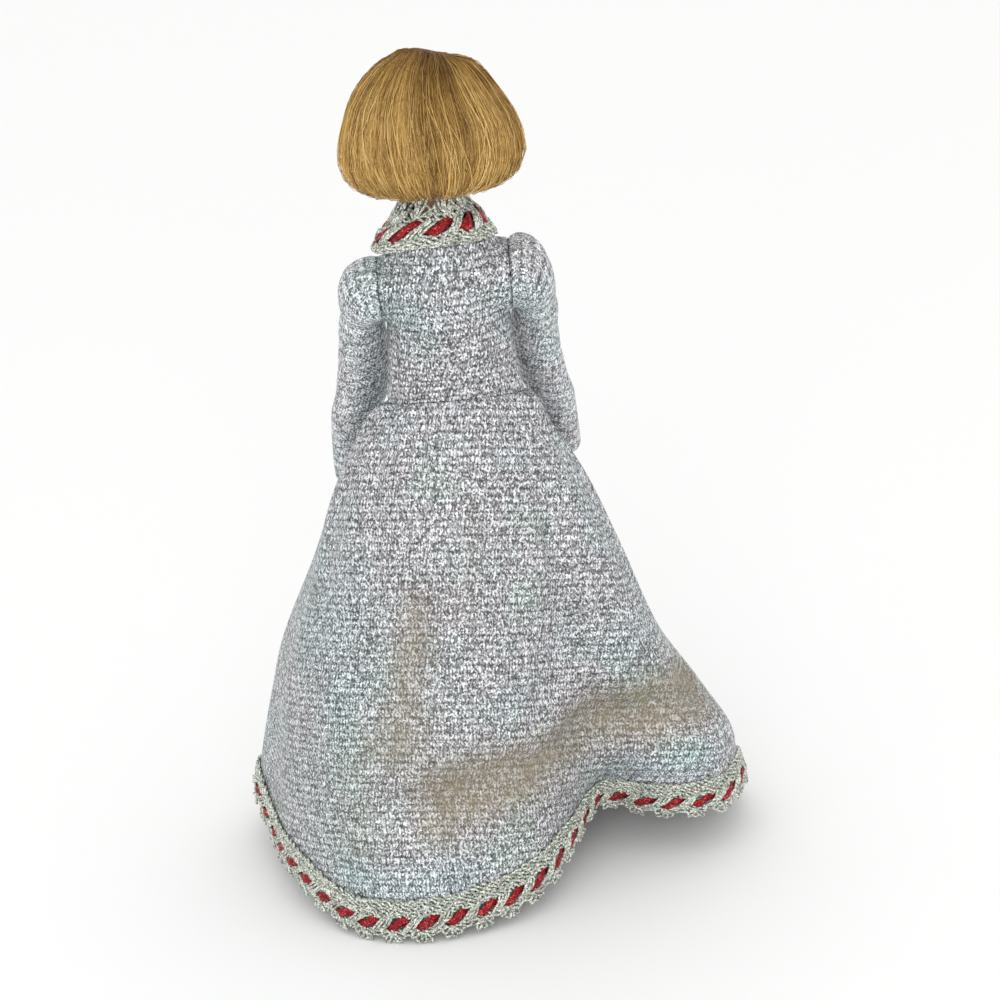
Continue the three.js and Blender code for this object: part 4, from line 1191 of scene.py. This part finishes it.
def collar_surface(turn, up):
    """Points of the collar: turn is the direction from the neck, up the millimetres from its lower edge."""
    back, left, right = (
        [np.interp(up, collar_run, sizes) for sizes in section.T]
        for section in (COLLAR_BACK, COLLAR_LEFT, COLLAR_RIGHT)
    )
    side_high, side_reach = (np.where(np.cos(turn) > 0, *sizes) for sizes in zip(left, right))
    z = mix(back[0], side_high, np.cos(turn) ** 2)
    return xyz(side_reach * np.cos(turn), back[1] * np.sin(turn), z)


def on_collar(flat):
    """Flat lace points as doll millimetres round the neck."""
    along, down, out = flat.T
    turn = COLLAR_TURN - TURN * (along - WINDOW) / COLLAR_REPEATS
    up = np.interp(down, *np.transpose(COLLAR_RISE))
    across = collar_surface(turn + COLLAR_STEP, up) - collar_surface(turn - COLLAR_STEP, up)
    rise = collar_surface(turn, up + COLLAR_STEP) - collar_surface(turn, up - COLLAR_STEP)
    return collar_surface(turn, up) + outward(across, rise) * (out - COLLAR_SINK)[:, None]


collar_trim = trim("collar", COLLAR_REPEATS, collar_pitch, COLLAR_HEADING, on_collar)

# %% [markdown]
# ## The hair
# The doll's hair is rooted fibre, cut to a bob that falls from a whorl on the crown and curls under. A
# fibre system would not travel with the model, so the hair is real geometry: a thin shell for the mass of
# the hair, and thousands of fine tapered strands laid over it from the whorl to the cut edge.

# %% The shape of the bob
HAIR_TOP = 292
HAIR_BOTTOM = 251.5
HAIR_HALF_WIDTH = 28
HAIR_DEPTH_RATIO = 0.88
HAIR_BACK = -0.5
HAIR_STEP = 0.004
FRINGE_BOTTOM = 277
BACK_TURN = math.pi / 2
FACE_TURN = 1.5 * math.pi
FACE_HALF_ANGLE = math.radians(28)
FACE_SIDE_ANGLE = math.radians(37)
BOB = np.array([  # half width and height, from the crown to the cut edge
    (0, 0.985), (0.11, 0.98), (0.275, 0.955), (0.515, 0.867), (0.725, 0.7), (0.88, 0.5), (0.96, 0.34),
    (0.985, 0.22), (0.945, 0.1), (0.85, 0.03), (0.72, 0.0), (0.6, 0.012), (0.5, 0.05),
])
CROWN_OUT, CROWN_HIGH = BOB[:7].T
CROWN_BLEND = (0.05, 0.3)  # this and the next are shares of the way from the whorl to the edge
CROWN_LEAN = 2.8  # how far the top of the bob leans to the doll's left
CROWN_LEAN_RUN = (0.1, 0.6)
WHORL = np.array([-5.5, -5.0])
WHORL_RUN = 0.45
LOBE_AT = (0.0, -1.0)
LOBE_RISE = 2.2
LOBE_SPREAD = 11.0
hair_rise = HAIR_TOP - HAIR_BOTTOM
bob_run = run_along(BOB * (HAIR_HALF_WIDTH, hair_rise))
bob_length = bob_run[-1]
bob_run /= bob_length
fringe_run = np.interp((HAIR_BOTTOM - FRINGE_BOTTOM) / hair_rise, -CROWN_HIGH, bob_run[:len(CROWN_HIGH)])


def way_round(start, end):
    """The shorter way round from one direction to another."""
    return (end - start + math.pi) % TURN - math.pi


def hair_end(turn):
    """How far down the bob the hair reaches in a direction: short over the face, full elsewhere."""
    from_face = np.abs(way_round(FACE_TURN, turn))
    return mix(fringe_run, 1.0, ease(FACE_HALF_ANGLE, FACE_SIDE_ANGLE, from_face))


def bob_outline(run):
    """The bob's half width, and its height over the cut edge."""
    return through(bob_run, BOB[:, 0], run) * HAIR_HALF_WIDTH, through(bob_run, BOB[:, 1], run) * hair_rise


def hair_surface(turn, run, lift):
    """Points on the bob: run goes from the whorl to the cut edge, lift is out of the surface."""
    out, high = bob_outline(run)
    above, below = bob_outline(run - HAIR_STEP), bob_outline(run + HAIR_STEP)
    lean = np.arctan2(above[1] - below[1], below[0] - above[0])
    shift = WHORL[:, None] * (1 - ease(0, WHORL_RUN, run))
    away = out + lift * np.sin(lean)
    x = away * np.cos(turn) + shift[0]
    y = HAIR_BACK + away * np.sin(turn) * HAIR_DEPTH_RATIO + shift[1]
    crown = np.interp(np.hypot(x, y) / HAIR_HALF_WIDTH, CROWN_OUT, CROWN_HIGH) * hair_rise
    z = HAIR_BOTTOM + mix(crown, high, ease(*CROWN_BLEND, run)) + lift * np.cos(lean)
    z += LOBE_RISE * bell(np.hypot(x - LOBE_AT[0], y - LOBE_AT[1]), 0, LOBE_SPREAD)
    return xyz(x + CROWN_LEAN * (1 - ease(*CROWN_LEAN_RUN, run)), y, z)


print("bob", round(bob_length), "mm from whorl to edge")

# %% Hair fibre
BLONDE = [
    (0.0, (0.18, 0.09, 0.02)), (0.35, (0.5, 0.3, 0.085)), (0.65, (0.8, 0.53, 0.175)),
    (1.0, (1.0, 0.78, 0.37)),
]
# painted shade: the hair is darker at the crown and at the curled-under ends, by the run mark
CROWN_SHADE = [
    (0.0, (0.34, 0.26, 0.15)), (0.14, (0.44, 0.36, 0.23)), (0.26, (0.8, 0.75, 0.64)), (0.42, (1.0, 1.0, 1.0)),
    (0.7, (1.0, 0.99, 0.97)), (1.0, (0.6, 0.55, 0.46)),
]
STREAK_PATCH = 4
STREAK_RANGE = 0.4
hair_fibre = Finish("hair_fibre")
streak = hair_fibre.cloud(STREAK_PATCH, 1.0) * STREAK_RANGE - STREAK_RANGE / 2
hair_tone = hair_fibre.colours(hair_fibre.mark("strand") + streak, BLONDE)
painted_crown_shade = hair_fibre.colours(hair_fibre.mark("run"), CROWN_SHADE)
hair_tone = hair_fibre.blend(1.0, hair_tone, painted_crown_shade, "MULTIPLY")
hair_fibre.shade({"Base Color": hair_tone, "Roughness": 0.38, "Specular IOR Level": 0.32})
print("hair finish made")

# %% The shell under the strands
HAIR_SHELL = 0.9
HAIR_SHELL_SINK = 1.4
HAIR_SHELL_GRID = (108, 44)


def hair_cap(across, down):
    """Points of the shell, a little inside the bob."""
    turn = BACK_TURN + TURN * (across - 0.5)
    return hair_surface(turn, down * hair_end(turn), np.full(len(turn), -HAIR_SHELL_SINK))


# the shell takes the darkest hair tone, painted shade under the strands, and the crown shade by its run
cap_marks = {"run": lambda across, down: down, "strand": lambda across, down: 0 * down}
hair_shell = bent_grid("hair_cap", *HAIR_SHELL_GRID, hair_cap, cap_marks)
thicken(hair_shell, HAIR_SHELL)
fit(hair_shell, "head", hair_fibre, "hair")

# %% [markdown]
# A strand has its own place, lift, bend and tone, and shares some of each with the lock that it lies in.
# Shade is painted into the tone on the doll's right, and a few strands stand off as flyaways.

# %% Choose where the strands lie
STRANDS = 10800
STRAND_POINTS = 11
LOCKS = 150
LOCK_STRAY = 0.35  # of a lock, for the strands in it
LOCK_SHIFT = 0.3
WHORL_SHARE = 0.6  # strands that are rooted close to the whorl
WHORL_ROOTS = (0, 0.03)
OTHER_ROOTS = (0, 0.3)
TIPS = (0.96, 1.0)
FLYAWAY_SHARE = 0.05
FLYAWAY_LIFT = (0.2, 1.5)
STRAND_LIFT = (-1.25, 0.15)
LOCK_LIFT = (-0.5, 0.15)
STRAND_SWAY = 0.065
LOCK_SWAY = 0.045
STRAND_BENDS = (0.8, 2.4)
STRAND_CURL = 0.026
MEAN_TONE = 0.46
LOCK_TONE = 0.11
STRAND_TONE = 0.23
RIGHT_SHADE_PLACE = (math.radians(168), math.radians(48))  # painted shade on the doll's right: middle and width
RIGHT_SHADE_DEPTH = 0.17
SEED = 11

luck = np.random.default_rng(SEED)
strand_turn = luck.uniform(0, TURN, STRANDS)
lock_place = strand_turn / TURN * LOCKS + luck.normal(0, LOCK_STRAY, STRANDS)
lock_number = np.round(lock_place).astype(int) % LOCKS
lock_turn = (lock_number + luck.normal(0, LOCK_SHIFT, LOCKS)[lock_number]) * TURN / LOCKS
lock_away = way_round(strand_turn, lock_turn)
near_whorl = luck.random(STRANDS) < WHORL_SHARE
strand_root = np.where(near_whorl, luck.uniform(*WHORL_ROOTS, STRANDS), luck.uniform(*OTHER_ROOTS, STRANDS))
strand_tip = hair_end(strand_turn) * luck.uniform(*TIPS, STRANDS)
flyaway = luck.random(STRANDS) < FLYAWAY_SHARE
strand_lift = np.where(flyaway, luck.uniform(*FLYAWAY_LIFT, STRANDS), luck.uniform(*STRAND_LIFT, STRANDS))
strand_lift += np.where(flyaway, 0, luck.uniform(*LOCK_LIFT, LOCKS)[lock_number])
strand_sway = luck.normal(0, STRAND_SWAY, STRANDS) + luck.normal(0, LOCK_SWAY, LOCKS)[lock_number]
strand_bend = luck.uniform(*STRAND_BENDS, STRANDS) * math.pi
strand_curl = luck.normal(0, STRAND_CURL, STRANDS)
strand_tone = MEAN_TONE + luck.normal(0, LOCK_TONE, LOCKS)[lock_number] + luck.normal(0, STRAND_TONE, STRANDS)
# painted shade: strands on the doll's right are darker
strand_tone -= RIGHT_SHADE_DEPTH * bell(strand_turn, *RIGHT_SHADE_PLACE)
print("strands", STRANDS, "in", LOCKS, "locks")

# %% The path of a strand
LOCK_PULL = 0.5
NAPE_DRAW = 0.5  # how far the ends draw in towards the nape
NAPE_DRAW_START = 0.45
ROOT_LIFT = -0.9
ROOT_RUN = 0.3
STRAND_ARCH = 0.25
STEP_CROWDING = 0.92  # points lie a little closer at the tip
steps = np.linspace(0, 1, STRAND_POINTS) ** STEP_CROWDING


def strand(k):
    """One strand's path: it leaves the whorl, drifts towards its lock, and curls under."""
    run = mix(strand_root[k], strand_tip[k], steps)
    turn = strand_turn[k] + LOCK_PULL * lock_away[k] * steps
    turn += strand_sway[k] * np.sin(strand_bend[k] * steps)
    turn += strand_curl[k] * np.sin(2 * strand_bend[k] * steps)
    from_back = strand_turn[k] - BACK_TURN
    turn -= NAPE_DRAW * ease(NAPE_DRAW_START, 1, steps) * math.sin(from_back) * max(0, math.cos(from_back))
    lift = mix(ROOT_LIFT, strand_lift[k], ease(0, ROOT_RUN, run)) + STRAND_ARCH * np.sin(math.pi * steps)
    return hair_surface(turn, run, lift)


print("points in a strand:", len(strand(0)))

# %% Lay the strands
STRAND_RADIUS = 0.085
STRAND_SIDES = 4
STRAND_TAPER = (0.5, 0.9, 1, 1, 1, 1, 1, 1, 0.9, 0.7, 0.2)
PARTING = (math.radians(107), math.radians(20))  # where the painted crown shade reaches further down from the whorl, and its width
PARTING_SHADE_DEPTH = 0.45
HAIR_PARTS = (
    "hair_front", "hair_left_front", "hair_left_back", "hair_back", "hair_right_back", "hair_right_front",
)


def along_strands(values):
    """Spreads values, a row for each strand, over the tubes' points.

    The end caps come first, from the last strand to the first."""
    ends = values[::-1, [-1, 0]]
    return np.repeat(np.r_[ends.ravel(), values.ravel()], STRAND_SIDES)


part_angle = TURN / len(HAIR_PARTS)
strand_part = ((strand_turn - FACE_TURN + part_angle / 2) % TURN / part_angle).astype(int)
for number, part in enumerate(HAIR_PARTS):
    chosen = np.flatnonzero(strand_part == number)
    locks = threads(part, [(strand(k), False) for k in chosen], STRAND_RADIUS, 0, STRAND_TAPER)
    tone = np.clip(strand_tone[chosen, None], 0, 1)
    set_mark(locks, "strand", along_strands(np.repeat(tone, STRAND_POINTS, axis=1)))
    # painted shade: the run mark is shortened at the parting, so the crown shade reaches further down there
    parted = bell(way_round(PARTING[0], strand_turn[chosen, None]), 0, PARTING[1])
    run = mix(strand_root[chosen, None], strand_tip[chosen, None], steps)
    set_mark(locks, "run", along_strands(run * (1 - PARTING_SHADE_DEPTH * parted)))
    fit(locks, "head", hair_fibre)

# %% [markdown]
# ## The head
# The head is a hollow vinyl moulding with a calm, plain face and painted features. A round ball is pushed
# into shape: narrower towards the chin, with small swells for the nose, lips, chin and cheeks and shallow
# hollows for the eyes. The paint is a set of soft-edged ovals measured from the middle of the face.

# %% Shape the head
HEAD_WIDTH = 31
HEAD_DEPTH = 36
HEAD_HEIGHT = 38
HEAD_CENTRE = np.array([0, -2, 270])
HEAD_BALL = {"segments": 160, "ring_count": 120, "radius": 1}
JAW_TAPER = 0.3
JAW_CURVE = 1.6
NAPE_TAPER = 0.28
FINE_HILLS = [  # height, place across and up, half width, half height: nose, nostrils, lips and their parting
    (2.5, 0, -0.22, 0.1, 0.12), (0.9, 0, 0, 0.09, 0.2), (0.7, 0.12, -0.27, 0.06, 0.055),
    (0.75, 0, -0.465, 0.15, 0.04), (0.95, 0, -0.545, 0.14, 0.045), (-0.35, 0, -0.505, 0.17, 0.02),
]
SOFT_HILLS = [  # chin, cheeks, eye hollows and the eyes in them
    (1.2, 0, -0.76, 0.22, 0.12), (0.5, 0.5, -0.25, 0.2, 0.18),
    (-1.25, 0.36, 0.0, 0.2, 0.12), (0.75, 0.37, 0.0, 0.13, 0.075),
]


def hills(x, z, forms):
    """Soft round hills on the face. One that is off the middle stands on both sides."""
    total = 0
    for height, at_x, at_z, wide, tall in forms:
        for middle in {at_x, -at_x}:
            total = total + height * bell(x, middle, wide) * bell(z, at_z, tall)
    return total


def head_surface(direction):
    """Points of the head in those directions from its centre."""
    x, y, z = direction.T
    low, front = np.maximum(0, -z), np.maximum(0, -y)
    taper = 1 - JAW_TAPER * low**JAW_CURVE
    nape = 1 - NAPE_TAPER * low * np.maximum(0, y)
    out = front**4 * hills(x, z, FINE_HILLS) + front**3 * hills(x, z, SOFT_HILLS)
    half = np.array([HEAD_WIDTH, HEAD_DEPTH, HEAD_HEIGHT]) / 2
    return HEAD_CENTRE + xyz(x * half[0] * taper, y * half[1] * nape - out, z * half[2])


bpy.ops.object.select_all(action="DESELECT")
bpy.ops.mesh.primitive_uv_sphere_add(**HEAD_BALL)
head = bpy.context.object
head.name = "head_vinyl"
set_points(head, place(head_surface(get_points(head))))
print("head", np.ptp(get_points(head), axis=0).round(4))

# %% Paint the face
FRONT_START = (-6.0, -5.0)
EDGE = 0.12
EYE = (5.7, 0.1)
IRIS = (5.6, 0.2)
BLUSH_STRENGTH = 0.3
LID_STRENGTH = 0.35

face_vinyl, face_tone = vinyl("face_vinyl")
face_x, face_y, face_z = face_vinyl.parts(face_vinyl.on_object(1, shift=-place(HEAD_CENTRE) / MM))
face_x = face_vinyl.sums("ABSOLUTE", face_x)


def fade(value, start, end, **settings):
    """1 below start, falling to 0 at the end."""
    return face_vinyl.number(0, "MapRange", {"Value": value, 1: start, 2: end, 3: 1.0, 4: 0.0}, **settings)


front_only = fade(face_y, *FRONT_START)


def oval(centre, radii, edge=EDGE, lean=0.0):
    """1 inside an oval of the face in millimetres, fading at its edge; lean lifts its outer end."""
    x = face_x - centre[0]
    z = face_z - centre[1] - x * lean
    x, z = x * (1 / radii[0]), z * (1 / radii[1])
    return fade(x * x + z * z, 1 - edge, 1 + edge, interpolation_type="SMOOTHSTEP") * front_only


def arched(centre, radii, lean, cut):
    """The upper rim of an oval: the oval less the same oval moved down by cut."""
    lower = oval((centre[0], centre[1] - cut), radii, EDGE, lean)
    return oval(centre, radii, EDGE, lean) * face_vinyl.sums("SUBTRACT", 1.0, lower)


PAINT = [
    (oval((8.3, -5.2), (4.2, 3.6), 0.95) * BLUSH_STRENGTH, (0.75, 0.2, 0.16, 1)),
    (oval((6.0, 1.7), (3.4, 1.9), 0.8) * LID_STRENGTH, (0.3, 0.22, 0.2, 1)),
    (oval(EYE, (2.45, 1.35), lean=0.06), (0.86, 0.86, 0.84, 1)),
    (oval(IRIS, (1.22, 1.25)), (0.12, 0.2, 0.26, 1)),
    (oval(IRIS, (0.6, 0.62), 0.15), (0.01, 0.01, 0.012, 1)),
    (oval((5.95, 0.65), (0.24, 0.24), 0.3), (0.95, 0.95, 0.95, 1)),
    (arched((5.85, 0.38), (2.75, 1.45), 0.1, 0.42), (0.075, 0.035, 0.018, 1)),
    (arched((6.2, 3.9), (3.0, 1.5), 0.04, 0.5), (0.2, 0.11, 0.05, 1)),
    (oval((1.0, -8.9), (1.55, 0.62), 0.25, -0.28), (0.5, 0.085, 0.085, 1)),
    (oval((0.0, -10.25), (2.1, 0.85), 0.25), (0.56, 0.11, 0.11, 1)),
    (oval((0.0, -9.5), (2.5, 0.12), 0.5, 0.03), (0.25, 0.03, 0.03, 1)),
]
for mask, paint in PAINT:
    face_tone = face_vinyl.blend(mask, face_tone, paint)
face_vinyl.shade({"Base Color": face_tone})
fit(head, "head", face_vinyl, "head")

# %% [markdown]
# ## Arms and hands
# Each arm is one moulding from the plug in the shoulder to the fingertips. The arm is a bent grid with a
# flat palm at its end, and the fingers, the thumb and the plug's stem are round rods. A voxel remesh melts
# them into one skin, and a smooth softens the joins.

# %% Shape the arms
ARM_PLACES = (-94, -93, -89.6, -85, -82, -70, -50.8, -36.9, -16.4, -4, 3, 6, 7.2)
ARM_WIDTHS = (0, 1.5, 2.3, 2.5, 2.6, 3.2, 3.9, 3.8, 4.3, 4.8, 4.5, 2.7, 0)
ARM_DEPTHS = (0, 3.4, 4.3, 3.5, 2.9, 3.4, 4.2, 4.1, 4.8, 5.6, 5.2, 3.1, 0)
ARM_GRID = (28, 96)
ARM_VOXEL = 0.4
ARM_SOFTENING = 4
FINGERS = [(-3.1, 8.3, 0.92), (-1.05, 9.6, 0.98), (1.05, 9.0, 0.98), (3.0, 7.0, 0.86)]
FINGER_START = -91.5
FINGER_ROOT = 1.5  # length inside the palm
FINGER_CURL = 1.6
FINGER_SPLAY = 0.08
FINGER_TAPER = (1, 1, 0.95, 0.88, 0.55)
FINGER_RING = 2
THUMB_RADIUS = 1.25
THUMB_START = -84.5
THUMB_LENGTH = 10
THUMB_CURL = 0.8
THUMB_BASE = -2.4
THUMB_REACH = 3.4
THUMB_BEND = 1.4
STEM_START = 12
STEM_RADIUS = 3.6
STEM_RING = 4
SMOOTHING = 0.5


def arm_skin(side):
    """The surface of one arm."""

    def surface(across, down):
        z = mix(ARM_PLACES[-1], ARM_PLACES[0], down)
        turn = SIGN[side] * TURN * across
        wide, deep = (np.interp(z, ARM_PLACES, sizes) for sizes in (ARM_WIDTHS, ARM_DEPTHS))
        return hang(side, arm_axis(side, z) + wide * np.cos(turn), deep * np.sin(turn), z)

    return surface


def rods(side):
    """Fingers, thumb and stem, each as its path, radius, roundness and taper."""
    u = np.linspace(0, 1, len(FINGER_TAPER))
    made = []
    for y, length, radius in FINGERS:
        z = FINGER_START - (length + FINGER_ROOT) * u
        x = arm_axis(side, z) - FINGER_CURL * u**2
        made.append((hang(side, x, y * (1 + FINGER_SPLAY * u), z), radius, FINGER_RING, FINGER_TAPER))
    z = THUMB_START - THUMB_LENGTH * u
    x = arm_axis(side, z) - THUMB_CURL * u
    thumb = hang(side, x, THUMB_BASE - THUMB_REACH * np.sin(THUMB_BEND * u), z)
    stem = hang(side, mix(STEM_START, ARM_OFFSET, u), 0 * u, 0 * u)
    return [*made, (thumb, THUMB_RADIUS, FINGER_RING, FINGER_TAPER), (stem, STEM_RADIUS, STEM_RING, None)]


def melt(piece, voxel, passes):
    """Makes one fine skin of a piece, with voxels of that many millimetres, and softens it."""
    apply_modifier(piece, "REMESH", mode="VOXEL", voxel_size=voxel * MM)
    apply_modifier(piece, "SMOOTH", factor=SMOOTHING, iterations=passes)


for side in SIGN:
    arm = bent_grid(f"{side}_arm_vinyl", *ARM_GRID, arm_skin(side))
    parts = [threads("rod", [(path, False)], *shape) for path, *shape in rods(side)]
    pick(arm)
    for part in parts:
        part.select_set(True)
    bpy.ops.object.join()
    melt(arm, ARM_VOXEL, ARM_SOFTENING)
    fit(arm, f"{side}_arm", vinyl_skin, f"{side}_arm")

# %% [markdown]
# ## Legs and shoes
# Under the skirt the legs are straight mouldings on round hip discs, and the feet stand on tiptoe in
# pumps. Their solids already have the right form. Copies of them are remeshed finely and smoothed, which
# rounds off the facets, while the sole stays flat on the floor.

# %% Round off the legs and shoes
LEG_VOXEL = 0.6
LEG_SOFTENING = 12
SHOE_VOXEL = 0.35
SHOE_SOFTENING = 5


def rounded(node, voxel, passes):
    """A finer, smoother copy of a solid."""
    piece = bpy.data.objects.new(f"{node}_vinyl", frame["nodes"][node].data.copy())
    bpy.context.collection.objects.link(piece)
    edit_all(piece, bpy.ops.mesh.remove_doubles, threshold=MERGE)
    melt(piece, voxel, passes)
    return piece


for side in SIGN:
    leg = rounded(f"{side}_leg", LEG_VOXEL, LEG_SOFTENING)
    fit(leg, f"{side}_leg", vinyl_skin, f"{side}_leg")
    shoe = rounded(f"{side}_shoe", SHOE_VOXEL, SHOE_SOFTENING)
    fit(shoe, f"{side}_leg", shoe_vinyl, f"{side}_shoe")
